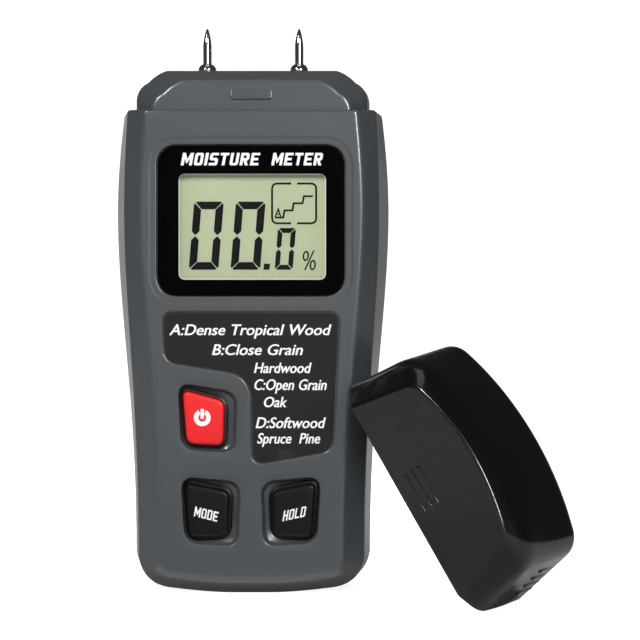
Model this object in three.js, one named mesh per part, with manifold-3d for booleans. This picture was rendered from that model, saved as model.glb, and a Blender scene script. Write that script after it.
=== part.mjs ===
// Two-pin wood moisture meter, standing on its foot, with its pin cap taken off and
// leaning against it. Millimetres, +Z up, keypad and display facing -Y, +X to the right
// as seen from the front. The origin is the centre of the small flat foot.
import * as THREE from 'three';
import { mergeVertices } from 'three/addons/utils/BufferGeometryUtils.js';
import Module from 'manifold-3d';

const wasm = await Module();
wasm.setup();

// ---- driving dimensions ----
const HALF_DEPTH = 13.5;          // parting plane (y = 0) to the flat front or back face
const BAND = 9.5;                 // parting plane to the edge where the bevel starts
const WALL = 2.0;                 // moulded wall
const FACE_INNER = 11.4;          // inner surface of the front and back walls
const PARTING_GAP = 0.1;          // each shell half stops this far from y = 0
const GAP = 0.15;                 // clearance between resting pieces
const FIT = 0.3;                  // clearance round pieces that pass through each other

const SHOULDER_Z = 112.8;         // top of the body, where the head starts
const HEAD_TOP = 122.6;
const HEAD_FACE = 11.5;           // parting plane to the head's front face
const PIN_TIP_Z = 133.5;
const PIN_X = 11;                 // pins are 22 mm apart
const PIN_R = 1.02;

const WINDOW = { halfWidth: 21.7, low: 69.25, high: 104.2, corner: 4 };
const LENS_FRONT = 13.3;
const LENS_BACK = 12.3;
const LCD = { halfWidth: 18.8, low: 69.5, high: 101.2, front: 11.1, back: 9.1 };
const BOARD = { front: 7.9, back: 6.3, halfWidth: 22.5, low: 13, high: 106 };
const BOARD_SCREW = { x: 20, low: 17.5, high: 62 };
const CASE_SCREW = { lowX: 18, lowZ: 8.6, highX: 18.5, highZ: 114.8 };
const SCREW_SEAT = 9.3;           // y of the ledge under each case screw's head

const BATTERY = { width: 26.5, depth: 17.4, back: 11.4, low: 16.6, bodyHeight: 46.3 };
const STUD_X = 6.35;
const DOOR = { halfWidth: 15.6, low: 14.0, high: 70.0, inner: 11.6, edgeR: 0.95 };
const DOOR_PIVOT = { y: HALF_DEPTH - 0.95, z: 14.95 };
const BAY = { inner: 16.2, outer: 17.6, low: 14.6, high: 71 };

const KEY_TOP = 14.1;
const KEY_TRAVEL = 0.5;
const KEYHOLE_GAP = 0.35;
const KEY_FLANGE = 1.1;           // how far each key's hidden flange reaches past its outline
const WINDOW_HOLE = { halfWidth: 19, low: 71, high: 101 };
const LCD_FRAME = { halfWidth: 21.8, low: 66.6, high: 106 };
const ZEBRA = { halfWidth: 17.5, low: 98.4, high: 100.8 };
const CHIP = { halfWidth: 5, front: 4.6, low: 83, high: 93 };
const SNAP = { halfLength: 5, low: 114.9, ridge: 115.2, high: 117.6, lift: 0.55 };
const SOCKET = { radius: 2.6, low: 108, top: 121, floor: 113 };
const COLLAR_R = 2.15;

// pin cap in its closed position: mouth at v = 0, crown up, pins inside
const CAP_WALL = 1.5;
const CAP_MOUTH_CENTRE = new THREE.Vector3(42.1, -18.95, 24.97);
const CAP_ROLL = 6.7;             // degrees about its length
const CAP_LEAN = 56.7;            // degrees from level to standing on one end
const CAP_YAW = -29.3;            // degrees about the vertical

// ---- materials ----
const finish = (color, roughness, metalness = 0) =>
  new THREE.MeshStandardMaterial({ color, roughness, metalness });
const casePlastic = finish(0x5b5f62, 0.5);
const capPlastic = finish(0x1d1e20, 0.35);
const labelFilm = finish(0x343434, 0.4);
const lensPlastic = finish(0x070708, 0.08);
const lcdGlass = finish(0xb9c4a0, 0.3);
const redKey = finish(0xe8393c, 0.4);
const blackKey = finish(0x1e1e20, 0.55);
const innerPlastic = finish(0xd8d6cd, 0.6);
const zebraRubber = finish(0x6a3a4a, 0.8);
const boardGreen = finish(0x1f5a36, 0.5);
const chipBlack = finish(0x17171a, 0.6);
const nickel = finish(0xc9ccd0, 0.22, 1);
const brass = finish(0xb9954a, 0.35, 1);
const steel = finish(0x9a9da1, 0.4, 1);
const batteryCan = finish(0x3a3d42, 0.4, 0.6);
const redWire = finish(0xa82020, 0.6);
const blackWire = finish(0x151515, 0.6);

// ---- solids ----
function manifoldOf(geometry) {
  const bare = geometry.clone();
  bare.deleteAttribute('normal');
  bare.deleteAttribute('uv');
  const merged = mergeVertices(bare, 1e-4);
  const vertProperties = new Float32Array(merged.attributes.position.array);
  const triVerts = new Uint32Array(merged.index.array);
  return new wasm.Manifold(new wasm.Mesh({ numProp: 3, vertProperties, triVerts }));
}

function geometryOf(solid) {
  const { vertProperties, triVerts } = solid.getMesh();
  const geometry = new THREE.BufferGeometry();
  geometry.setAttribute('position', new THREE.BufferAttribute(vertProperties, 3));
  geometry.setIndex(new THREE.BufferAttribute(triVerts, 1));
  return geometry;
}

const join = (...solids) => solids.reduce((whole, piece) => whole.add(piece));
const cut = (solid, ...tools) => tools.reduce((left, tool) => left.subtract(tool), solid);

function part(name, shape, material) {
  const geometry = shape.isBufferGeometry ? shape : geometryOf(shape);
  geometry.computeVertexNormals();
  const mesh = new THREE.Mesh(geometry, material);
  mesh.name = name;
  return mesh;
}

function box(x0, x1, y0, y1, z0, z1) {
  const geometry = new THREE.BoxGeometry(x1 - x0, y1 - y0, z1 - z0);
  geometry.translate((x0 + x1) / 2, (y0 + y1) / 2, (z0 + z1) / 2);
  return geometry;
}

// cylinder along Y between two depths
function rod(x, z, radius, y0, y1, sides = 20) {
  const geometry = new THREE.CylinderGeometry(radius, radius, Math.abs(y1 - y0), sides);
  geometry.translate(x, (y0 + y1) / 2, z);
  return geometry;
}

// cylinder along Z between two heights
function post(x, y, radius, z0, z1, sides = 20) {
  const geometry = new THREE.CylinderGeometry(radius, radius, z1 - z0, sides);
  geometry.rotateX(Math.PI / 2);
  geometry.translate(x, y, (z0 + z1) / 2);
  return geometry;
}

// an outline in the X-Z plane made solid from the depth `back` forwards to `front`
function slab(shape, back, front, curveSegments = 4) {
  const options = { depth: back - front, bevelEnabled: false, curveSegments };
  const geometry = new THREE.ExtrudeGeometry(shape, options);
  geometry.rotateX(Math.PI / 2);
  geometry.translate(0, back, 0);
  return geometry;
}

// closed skin through rings of equal length; each ring is { y, points } in the X-Z plane
function loft(rings) {
  const count = rings[0].points.length;
  const position = [];
  for (const { y, points } of rings) {
    for (const p of points) position.push(p.x, y, p.y);
  }
  const index = [];
  for (let k = 0; k + 1 < rings.length; k += 1) {
    for (let i = 0; i < count; i += 1) {
      const a = k * count + i;
      const b = k * count + ((i + 1) % count);
      index.push(a, b, b + count, a, b + count, a + count);
    }
  }
  const last = (rings.length - 1) * count;
  for (const [a, b, c] of THREE.ShapeUtils.triangulateShape(rings[0].points, [])) {
    index.push(c, b, a);
  }
  for (const [a, b, c] of THREE.ShapeUtils.triangulateShape(rings.at(-1).points, [])) {
    index.push(last + a, last + b, last + c);
  }
  const geometry = new THREE.BufferGeometry();
  geometry.setAttribute('position', new THREE.Float32BufferAttribute(position, 3));
  geometry.setIndex(index);
  return geometry;
}

// rings run counter-clockwise seen from the front, so they are listed back to front
const frontLoft = (rings) => manifoldOf(loft(rings));
const mirrored = (solid) => solid.mirror([0, 1, 0]);

function sampled(path, divisions) {
  const points = path.getPoints(divisions);
  const [first, end] = [points[0], points.at(-1)];
  if (first.distanceTo(end) < 1e-6) points.pop();
  return points;
}

function roundedPolygon(corners, radius) {
  const shape = new THREE.Shape();
  const n = corners.length;
  corners.forEach(([x, z], i) => {
    const here = new THREE.Vector2(x, z);
    const before = new THREE.Vector2(...corners[(i + n - 1) % n]);
    const after = new THREE.Vector2(...corners[(i + 1) % n]);
    const enter = here.clone().add(before.sub(here).setLength(radius));
    const leave = here.clone().add(after.sub(here).setLength(radius));
    if (i === 0) shape.moveTo(enter.x, enter.y);
    else shape.lineTo(enter.x, enter.y);
    shape.quadraticCurveTo(x, z, leave.x, leave.y);
  });
  shape.closePath();
  return shape;
}

const roundedBox = (x0, x1, z0, z1, radius) =>
  roundedPolygon([[x0, z0], [x1, z0], [x1, z1], [x0, z1]], radius);

// a counter-clockwise polygon with every edge moved outwards by `grow`
function grown(corners, grow) {
  const n = corners.length;
  const points = corners.map(([x, z]) => new THREE.Vector2(x, z));
  return points.map((here, i) => {
    const arriving = here.clone().sub(points[(i + n - 1) % n]).normalize();
    const leaving = points[(i + 1) % n].clone().sub(here).normalize();
    const first = new THREE.Vector2(arriving.y, -arriving.x);
    const second = new THREE.Vector2(leaving.y, -leaving.x);
    const shift = first.clone().add(second).multiplyScalar(grow / (1 + first.dot(second)));
    return [here.x + shift.x, here.y + shift.y];
  });
}

// ---- outlines of the body and head ----
// half-widths near the bottom, at the widest height and at the shoulder; then the bottom
const RING_MIDDLE = {
  low: 28.0, wide: 32.5, shoulder: 30.85, top: SHOULDER_Z,
  base: 0, cornerX: 20.2, cornerRise: 1.2, cornerTop: 8.5,
};
const RING_BAND = {
  low: 26.4, wide: 29.8, shoulder: 28.95, top: SHOULDER_Z,
  base: 0, cornerX: 19.3, cornerRise: 1.2, cornerTop: 8.5,
};
const RING_FACE = {
  low: 21.3, wide: 26.0, shoulder: 24.5, top: SHOULDER_Z - 0.5,
  base: 3.75, cornerX: 18.6, cornerRise: 1.0, cornerTop: 8.3,
};
const WIDEST_Z = 89;
const FOOT_HALF = 4;             // the bottom is flat this far, then rises in a shallow arc
const FOOT_ARC = 6;
const FLARE_LOW = 44;            // heights of the handles that shape the flaring sides
const FLARE_HIGH = 66;

function shrunk(ring, d) {
  return {
    low: ring.low - d, wide: ring.wide - d, shoulder: ring.shoulder - d, top: ring.top - d,
    base: ring.base + d, cornerX: ring.cornerX - d * 0.4, cornerRise: ring.cornerRise,
    cornerTop: ring.cornerTop + d * 0.3,
  };
}

function bodyRing(ring, y) {
  const side = (sign) => {
    const path = new THREE.Path();
    const rise = ring.base + ring.cornerRise;
    path.moveTo(sign * FOOT_HALF, ring.base);
    path.quadraticCurveTo(
      sign * (FOOT_HALF + FOOT_ARC), ring.base, sign * ring.cornerX, rise,
    );
    // the corner is a slanting cut whose ends are drawn out in proportion to its width
    const cut = ring.low - ring.cornerX;
    path.bezierCurveTo(
      sign * (ring.cornerX + 0.55 * cut), rise + 0.09 * cut,
      sign * (ring.low - 0.1 * cut), ring.cornerTop - 0.63 * cut,
      sign * ring.low, ring.cornerTop,
    );
    path.bezierCurveTo(
      sign * ring.low, FLARE_LOW, sign * (ring.wide - 0.1), FLARE_HIGH,
      sign * ring.wide, WIDEST_Z,
    );
    path.bezierCurveTo(
      sign * ring.wide, WIDEST_Z + 9,
      sign * (ring.shoulder + 0.5 * (ring.wide - ring.shoulder)), 106,
      sign * ring.shoulder, ring.top,
    );
    return path.getPoints(6);
  };
  return { y, points: [...side(1), ...side(-1).reverse()] };
}

function headRing(inset, topInset, y, low = 104) {
  const half = 27.9 - inset;
  const top = HEAD_TOP - topInset;
  const side = (sign) => {
    const path = new THREE.Path();
    path.moveTo(sign * half, low);
    path.lineTo(sign * half, top - 6.9);
    path.quadraticCurveTo(sign * (half - 0.3), top - 4.0, sign * (half - 2.7), top - 2.9);
    path.quadraticCurveTo(sign * (half - 4.9), top - 0.6, sign * (half - 7.2), top);
    return path.getPoints(5);
  };
  return { y, points: [...side(1), ...side(-1).reverse()] };
}

// half of the body and head, from the parting plane to the front
function outerHalf() {
  const body = frontLoft([
    bodyRing(RING_MIDDLE, -PARTING_GAP),
    bodyRing(RING_BAND, -BAND),
    bodyRing(RING_FACE, -HALF_DEPTH),
  ]);
  const head = frontLoft([
    headRing(0, 0, -PARTING_GAP),
    headRing(0.8, 0.3, -7.5),
    headRing(4.9, 3.3, -HEAD_FACE),
  ]);
  return join(body, head);
}

function innerHalf() {
  const body = frontLoft([
    bodyRing(shrunk(RING_MIDDLE, WALL), 1),
    bodyRing(shrunk(RING_BAND, WALL), -BAND + 0.5),
    bodyRing(shrunk(RING_FACE, 0.3), -FACE_INNER),
  ]);
  const head = frontLoft([
    headRing(2, 2, 1),
    headRing(2.9, 2.4, -7),
    headRing(5.5, 4.2, -HEAD_FACE + WALL),
  ]);
  return join(body, head);
}

// ---- outlines on the front face ----
const POWER_KEY = [[-14.75, 35.1], [-6.3, 34.6], [-6.1, 44.9], [-15.75, 47.5]];
const MODE_KEY = [[-14.15, 13.4], [-5.35, 13.8], [-4.9, 24.0], [-15.0, 26.1]];
const POWER_WELL = [[-16.2, 33.6], [-3.2, 32.8], [-2.8, 47.2], [-17.0, 49.4]];
const MODE_WELL = [[-15.4, 12.0], [-2.6, 11.0], [-2.1, 26.6], [-16.3, 27.6]];
const mirroredCorners = (corners) => corners.map(([x, z]) => [-x, z]).reverse();
const KEYS = [
  { name: 'power', corners: POWER_KEY, well: POWER_WELL, material: redKey, x: -10.8, z: 40.6 },
  { name: 'mode', corners: MODE_KEY, well: MODE_WELL, material: blackKey, x: -9.9, z: 19.4 },
  {
    name: 'hold', corners: mirroredCorners(MODE_KEY), well: mirroredCorners(MODE_WELL),
    material: blackKey, x: 9.9, z: 19.4,
  },
];
const LABEL = [
  [-18.2, 65.45], [-20.45, 63.6], [-20.1, 56.6], [-17.8, 53.65], [-4.6, 51.6], [0.05, 46.4],
  [0.25, 32.4], [3.0, 30.55], [16.4, 32.95], [19.1, 36.2], [20.45, 63.4], [18.3, 65.45],
];

// ---- moulded halves ----
function pinHolderCuts() {
  return [-PIN_X, PIN_X].map((x) => join(
    manifoldOf(post(x, 0, SOCKET.radius + FIT, SOCKET.low - 0.5, SOCKET.top + GAP, 16)),
    manifoldOf(post(x, 0, 1.5, 120, HEAD_TOP + 1, 16)),
  ));
}

function boss(x, z, radius, y0, y1) {
  return manifoldOf(rod(x, z, radius, y0, y1, 12));
}

const caseScrewPlaces = [
  ['lower_left', -CASE_SCREW.lowX, CASE_SCREW.lowZ],
  ['lower_right', CASE_SCREW.lowX, CASE_SCREW.lowZ],
  ['upper_left', -CASE_SCREW.highX, CASE_SCREW.highZ],
  ['upper_right', CASE_SCREW.highX, CASE_SCREW.highZ],
];
const boardScrewPlaces = [
  ['lower_left', -BOARD_SCREW.x, BOARD_SCREW.low],
  ['lower_right', BOARD_SCREW.x, BOARD_SCREW.low],
  ['upper_left', -BOARD_SCREW.x, BOARD_SCREW.high],
  ['upper_right', BOARD_SCREW.x, BOARD_SCREW.high],
];

// a block round each pin socket that clamps it between the two shells
function socketClamp() {
  return join(...[-PIN_X, PIN_X].map((x) =>
    manifoldOf(box(x - 4.6, x + 4.6, -10.5, -PARTING_GAP, 110.5, SOCKET.top))));
}

function snapRidge() {
  const root = -HEAD_FACE + 0.5;
  const profile = [
    [root, SNAP.high], [-HEAD_FACE - SNAP.lift, SNAP.ridge], [root, SNAP.low],
  ];
  const shape = new THREE.Shape(profile.map(([y, z]) => new THREE.Vector2(y, z)));
  const geometry = new THREE.ExtrudeGeometry(shape, {
    depth: 2 * SNAP.halfLength, bevelEnabled: false,
  });
  geometry.rotateX(Math.PI / 2);
  geometry.rotateZ(Math.PI / 2);
  geometry.translate(-SNAP.halfLength, 0, 0);
  return manifoldOf(geometry);
}

function frontShell() {
  const outer = outerHalf();
  const bosses = join(
    ...boardScrewPlaces.map(([, x, z]) => boss(x, z, 2.4, -12.4, -BOARD.front - GAP)),
    ...caseScrewPlaces.map(([, x, z]) => boss(x, z, 3.1, -12.4, -PARTING_GAP)),
    socketClamp(),
  );
  const solid = join(cut(outer, innerHalf()), bosses.intersect(outer), snapRidge());
  const w = WINDOW;
  const hole = WINDOW_HOLE;
  const seat = roundedBox(
    -w.halfWidth - GAP, w.halfWidth + GAP, w.low - GAP, w.high + GAP, w.corner,
  );
  const cuts = [
    manifoldOf(slab(seat, -LENS_BACK + FIT, -HALF_DEPTH - 1)),
    manifoldOf(slab(roundedBox(-hole.halfWidth, hole.halfWidth, hole.low, hole.high, 2), -10, -13)),
    manifoldOf(slab(roundedPolygon(LABEL, 1.2), -HALF_DEPTH + 0.55, -HALF_DEPTH - 1)),
    ...boardScrewPlaces.map(([, x, z]) => manifoldOf(rod(x, z, 1.0, -11, -7, 8))),
    ...caseScrewPlaces.map(([, x, z]) => manifoldOf(rod(x, z, 1.5, -8.6, 1, 10))),
    ...pinHolderCuts(),
  ];
  for (const key of KEYS) {
    const keyhole = roundedPolygon(grown(key.corners, KEYHOLE_GAP), 1.7);
    cuts.push(manifoldOf(slab(keyhole, -10.5, -HALF_DEPTH - 1)));
    cuts.push(frontLoft([
      { y: -HALF_DEPTH + 0.8, points: sampled(roundedPolygon(grown(key.corners, 0.6), 1.7), 4) },
      { y: -HALF_DEPTH - 0.2, points: sampled(roundedPolygon(key.well, 2.5), 4) },
    ]));
  }
  return part('front_shell', cut(solid, ...cuts), casePlastic);
}

function rearShell() {
  const outer = mirrored(outerHalf());
  const inner = FACE_INNER + 1;
  const ribs = [-1, 1].map((side) => {
    const [x0, x1] = [side * BAY.inner, side * BAY.outer].sort((a, b) => a - b);
    return manifoldOf(box(x0, x1, -5.9, inner, BAY.low, BAY.high + 1));
  });
  const ends = [
    manifoldOf(box(-BAY.inner - 0.5, BAY.inner + 0.5, -5.9, inner, BAY.high, BAY.high + 1.4)),
    manifoldOf(box(-BAY.inner - 0.5, BAY.inner + 0.5, -5.9, FACE_INNER - FIT, BAY.low, 16)),
  ];
  const bosses = join(
    ...caseScrewPlaces.map(([, x, z]) => boss(x, z, 3.1, PARTING_GAP, inner)),
    ...caseScrewPlaces.map(([, x, z]) => boss(x, z, 4.0, SCREW_SEAT - 1.6, inner)),
    mirrored(socketClamp()),
  );
  const solid = join(
    cut(outer, mirrored(innerHalf())),
    bosses.intersect(outer),
    mirrored(snapRidge()),
    ...ribs,
    ...ends,
  );
  const d = DOOR;
  const doorway = roundedBox(
    -d.halfWidth - FIT, d.halfWidth + FIT, d.low - FIT, d.high + FIT, 0.6,
  );
  const cuts = [
    manifoldOf(slab(doorway, HALF_DEPTH + 1, FACE_INNER - 0.2)),
    manifoldOf(box(-8, 8, -6.5, -2, BAY.high - 1, BAY.high + 3)),
    ...caseScrewPlaces.map(([, x, z]) => manifoldOf(rod(x, z, 1.5, -1, 14, 10))),
    ...caseScrewPlaces.map(([, x, z]) => manifoldOf(rod(x, z, 2.9, SCREW_SEAT, 15, 16))),
    ...pinHolderCuts(),
  ];
  const hingeHole = new THREE.CylinderGeometry(0.8, 0.8, 2 * (d.halfWidth + 1.6), 16);
  hingeHole.rotateZ(Math.PI / 2);
  hingeHole.translate(0, DOOR_PIVOT.y, DOOR_PIVOT.z);
  cuts.push(manifoldOf(hingeHole));
  return part('rear_shell', cut(solid, ...cuts), casePlastic);
}

function batteryDoor() {
  const d = DOOR;
  const plate = roundedBox(-d.halfWidth, d.halfWidth, DOOR_PIVOT.z, d.high, 0.6);
  const lowerEdge = new THREE.CylinderGeometry(d.edgeR, d.edgeR, 2 * d.halfWidth, 20);
  lowerEdge.rotateZ(Math.PI / 2);
  lowerEdge.translate(0, DOOR_PIVOT.y, DOOR_PIVOT.z);
  const pins = new THREE.CylinderGeometry(0.5, 0.5, 2 * (d.halfWidth + 1.2), 16);
  pins.rotateZ(Math.PI / 2);
  pins.translate(0, DOOR_PIVOT.y, DOOR_PIVOT.z);
  const notch = slab(roundedBox(-5, 5, d.high - 4.5, d.high - 1.5, 1.2), 14, HALF_DEPTH - 0.7);
  const root = manifoldOf(box(
    -d.halfWidth, d.halfWidth, d.inner, HALF_DEPTH, DOOR_PIVOT.z, DOOR_PIVOT.z + 2,
  ));
  const solid = join(
    manifoldOf(slab(plate, HALF_DEPTH, d.inner)),
    root,
    manifoldOf(lowerEdge),
    manifoldOf(pins),
  );
  return part('battery_door', cut(solid, manifoldOf(notch)), casePlastic);
}

// ---- display stack ----
function displayWindow() {
  const w = WINDOW;
  const shape = roundedBox(-w.halfWidth, w.halfWidth, w.low, w.high, w.corner);
  return part('display_window', slab(shape, -LENS_BACK, -LENS_FRONT), lensPlastic);
}

function lcdPanel() {
  return part(
    'lcd_panel', box(-LCD.halfWidth, LCD.halfWidth, -LCD.front, -LCD.back, LCD.low, LCD.high),
    lcdGlass,
  );
}

function lcdFrame() {
  const f = LCD_FRAME;
  const shape = roundedBox(-f.halfWidth, f.halfWidth, f.low, f.high, 1.5);
  const hole = roundedBox(
    -LCD.halfWidth - FIT, LCD.halfWidth + FIT, LCD.low - FIT, LCD.high + FIT, 0.5,
  );
  shape.holes.push(hole);
  return part('lcd_frame', slab(shape, -BOARD.front - GAP, -FACE_INNER + GAP), innerPlastic);
}

function zebraStrip() {
  const back = BOARD.front + GAP;
  const half = ZEBRA.halfWidth;
  return part(
    'zebra_strip', box(-half, half, -LCD.back + GAP, -back, ZEBRA.low, ZEBRA.high), zebraRubber,
  );
}

function speciesLabel() {
  const shape = roundedPolygon(grown(LABEL, -0.2), 1.1);
  return part('species_label', slab(shape, -HALF_DEPTH + 0.4, -HALF_DEPTH + 0.1), labelFilm);
}

// ---- electronics ----
function circuitBoard() {
  const b = BOARD;
  const shape = roundedBox(-b.halfWidth, b.halfWidth, b.low, b.high, 2);
  for (const [, x, z] of boardScrewPlaces) {
    const hole = new THREE.Path();
    hole.absarc(x, z, 1.15, 0, Math.PI * 2, true);
    shape.holes.push(hole);
  }
  return part('circuit_board', slab(shape, -b.back, -b.front, 8), boardGreen);
}

function controllerChip() {
  const c = CHIP;
  const body = box(-c.halfWidth, c.halfWidth, -BOARD.back + GAP, -c.front, c.low, c.high);
  return part('controller_chip', body, chipBlack);
}

function screw(name, x, z, seat, headR, headHeight, shankR, length) {
  const profile = [
    [0, -length], [shankR * 0.5, -length], [shankR, 1.2 - length], [shankR, 0],
    [headR, 0], [headR, headHeight * 0.55], [headR * 0.55, headHeight], [0, headHeight],
  ].map(([r, y]) => new THREE.Vector2(r, y));
  const body = manifoldOf(new THREE.LatheGeometry(profile, 12));
  const deep = headHeight * 0.55;
  const slot = 0.26 * headR;
  const arm = 0.62 * headR;
  const cross = join(
    manifoldOf(box(-arm, arm, headHeight - deep, headHeight + 1, -slot / 2, slot / 2)),
    manifoldOf(box(-slot / 2, slot / 2, headHeight - deep, headHeight + 1, -arm, arm)),
  );
  const mesh = part(name, cut(body, cross), steel);
  mesh.position.set(x, seat, z);
  return mesh;
}

const caseScrews = () => caseScrewPlaces.map(([place, x, z]) =>
  screw(`case_screw_${place}`, x, z, SCREW_SEAT + GAP, 2.5, 1.9, 1.2, 17.2));
const boardScrews = () => boardScrewPlaces.map(([place, x, z]) =>
  screw(`board_screw_${place}`, x, z, -BOARD.back + GAP, 1.8, 1.3, 0.8, 4.4));

// ---- keys and their switches ----
function button(key) {
  const outline = (inset) => sampled(roundedPolygon(grown(key.corners, -inset), 1.5), 4);
  const cap = frontLoft([
    { y: -FACE_INNER + 0.7, points: outline(0) },
    { y: -KEY_TOP + 0.7, points: outline(0) },
    { y: -KEY_TOP + 0.2, points: outline(0.35) },
    { y: -KEY_TOP, points: outline(0.9) },
  ]);
  const flange = slab(roundedPolygon(grown(key.corners, KEY_FLANGE), 2), -10.4, -FACE_INNER + FIT);
  return part(`${key.name}_button`, join(cap, manifoldOf(flange)), key.material);
}

function keySwitch(key) {
  const half = 3.0;
  const top = 9.6;
  const back = BOARD.front + GAP;
  const body = manifoldOf(box(
    key.x - half, key.x + half, -top, -back, key.z - half, key.z + half,
  ));
  const well = manifoldOf(rod(key.x, key.z, 1.9, -top - 1, -back - 0.3, 20));
  return [
    part(`${key.name}_switch`, cut(body, well), chipBlack),
    part(
      `${key.name}_plunger`,
      rod(key.x, key.z, 1.6, -10.25, -back - 0.3 - FIT - KEY_TRAVEL, 20), innerPlastic,
    ),
  ];
}

// ---- pins ----
function lathed(profile, segments) {
  const geometry = new THREE.LatheGeometry(
    profile.map(([r, z]) => new THREE.Vector2(r, z)), segments,
  );
  geometry.rotateX(Math.PI / 2);
  return geometry;
}

function pin(name, x) {
  const taper = 4.2;
  const profile = [
    [0, SOCKET.floor + 0.5], [PIN_R, SOCKET.floor + 0.5], [PIN_R, PIN_TIP_Z - taper], [0.93, PIN_TIP_Z - 3.1],
    [0.72, PIN_TIP_Z - 1.8], [0.42, PIN_TIP_Z - 0.6], [0.16, PIN_TIP_Z], [0, PIN_TIP_Z],
  ];
  const mesh = part(name, lathed(profile, 16), nickel);
  mesh.position.x = x;
  return mesh;
}

function pinCollar(name, x) {
  const low = HEAD_TOP + GAP;
  const bore = PIN_R + FIT;
  const profile = [
    [bore, low], [COLLAR_R, low], [COLLAR_R, low + 0.9], [COLLAR_R - 0.2, low + 1.5],
    [1.6, low + 2.0],
    [bore, low + 2.2], [bore, low],
  ];
  const mesh = part(name, lathed(profile, 16), nickel);
  mesh.position.x = x;
  return mesh;
}

function pinSocket(name, x) {
  const bore = PIN_R + FIT;
  const profile = [
    [0, SOCKET.low], [SOCKET.radius, SOCKET.low], [SOCKET.radius, SOCKET.top],
    [bore, SOCKET.top], [bore, SOCKET.floor], [0, SOCKET.floor],
  ];
  const mesh = part(name, lathed(profile, 16), brass);
  mesh.position.x = x;
  return mesh;
}

// round wire along a smooth route
function wire(name, route, radius, material) {
  const curve = new THREE.CatmullRomCurve3(route.map((p) => new THREE.Vector3(...p)));
  const section = new THREE.Shape();
  section.absarc(0, 0, radius, 0, Math.PI * 2);
  const options = { steps: 12, extrudePath: curve, curveSegments: 4, bevelEnabled: false };
  return part(name, new THREE.ExtrudeGeometry(section, options), material);
}

function pinLead(name, side, material) {
  const x = side * PIN_X;
  const joint = -BOARD.back + 0.75;
  return wire(name, [
    [x, -0.6, 107.6], [x, -0.6, 106.2], [x + side * 0.6, -3.0, 103.6],
    [x + side, joint, 101.4], [x + side, joint, 97.4],
  ], 0.55, material);
}

// ---- battery ----
function battery() {
  const b = BATTERY;
  const middle = b.back - b.depth / 2;
  const outline = roundedBox(-b.width / 2, b.width / 2, -b.depth / 2, b.depth / 2, 2.4);
  const can = new THREE.ExtrudeGeometry(outline, {
    depth: b.bodyHeight, bevelEnabled: false, curveSegments: 5,
  });
  can.translate(0, middle, b.low);
  const top = b.low + b.bodyHeight;
  const studs = [
    manifoldOf(post(-STUD_X, middle, 2.85, top - 1, top + 2.1, 20)),
    manifoldOf(post(STUD_X, middle, 3.8, top - 1, top + 2.1, 6)),
  ];
  return part('battery', join(manifoldOf(can), ...studs), batteryCan);
}

function batterySnap() {
  const b = BATTERY;
  const middle = b.back - b.depth / 2;
  const low = b.low + b.bodyHeight + FIT;
  const outline = roundedBox(-12.6, 12.6, -6, 6, 4);
  const block = new THREE.ExtrudeGeometry(outline, {
    depth: 4.4, bevelEnabled: false, curveSegments: 5,
  });
  block.translate(0, middle, low);
  return part('battery_snap', cut(
    manifoldOf(block),
    manifoldOf(post(-STUD_X, middle, 2.85 + FIT, low - 1, low + 2.3, 20)),
    manifoldOf(post(STUD_X, middle, 3.8 + FIT, low - 1, low + 2.3, 20)),
  ), blackWire);
}

function batteryLead(name, x, material) {
  const start = BATTERY.low + BATTERY.bodyHeight + FIT + 4.4 + GAP;
  const joint = -BOARD.back + 0.75;
  return wire(name, [
    [x, 1.0, start + GAP], [x, 1.0, start + 1.6], [x, -3.2, start + 3.4],
    [x, joint, start + 6.6], [x, joint, start + 11],
  ], 0.55, material);
}

// ---- pin cap ----
// half-length at the mouth, narrowing per mm of height, crown height and radius, corner
const CAP_FACE = { half: 24.0, taper: 0.25, crown: 20.95, radius: 54, corner: 4.7 };
const CAP_FRONT_BAND = { half: 29.15, taper: 0.165, crown: 22.6, radius: 75, corner: 9 };
const CAP_MIDDLE = { half: 29.88, taper: 0.185, crown: 23.75, radius: 66, corner: 6.2 };
const CAP_REAR_BAND = { half: 30.1, taper: 0.16, crown: 24.4, radius: 75, corner: 5.4 };
const CAP_RIB = { count: 4, low: 4.2, pitch: 2.6, radius: 0.65, front: 1, back: 8.6 };
const CAP_BAR_HEIGHTS = [3.4, 5.4, 7.4];

function capRing(ring, y, inset = 0, mouth = 0) {
  const { taper, radius } = ring;
  const half = ring.half - inset;
  const crown = ring.crown - inset;
  const corner = Math.max(ring.corner - inset, 1);
  const centre = crown - radius;
  // the corner circle touches the leaning end line and the crown arc from inside
  const lean = Math.hypot(1, taper);
  let cornerZ = crown - corner - 4;
  let cornerX = 0;
  for (let pass = 0; pass < 60; pass += 1) {
    cornerX = half - taper * cornerZ - corner * lean;
    cornerZ = centre + Math.sqrt((radius - corner) ** 2 - cornerX ** 2);
  }
  const start = Math.atan(taper);
  const end = Math.atan2(cornerZ - centre, cornerX);
  const points = [new THREE.Vector2(half - taper * mouth, mouth)];
  const cornerSteps = 5;
  for (let i = 0; i <= cornerSteps; i += 1) {
    const a = start + ((end - start) * i) / cornerSteps;
    points.push(new THREE.Vector2(
      cornerX + corner * Math.cos(a), cornerZ + corner * Math.sin(a),
    ));
  }
  const crownSteps = 6;
  for (let i = 1; i <= crownSteps; i += 1) {
    const a = end + ((Math.PI / 2 - end) * i) / crownSteps;
    points.push(new THREE.Vector2(radius * Math.cos(a), centre + radius * Math.sin(a)));
  }
  const left = points.slice(0, -1).reverse().map((p) => new THREE.Vector2(-p.x, p.y));
  return { y, points: [...points, ...left] };
}

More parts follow.
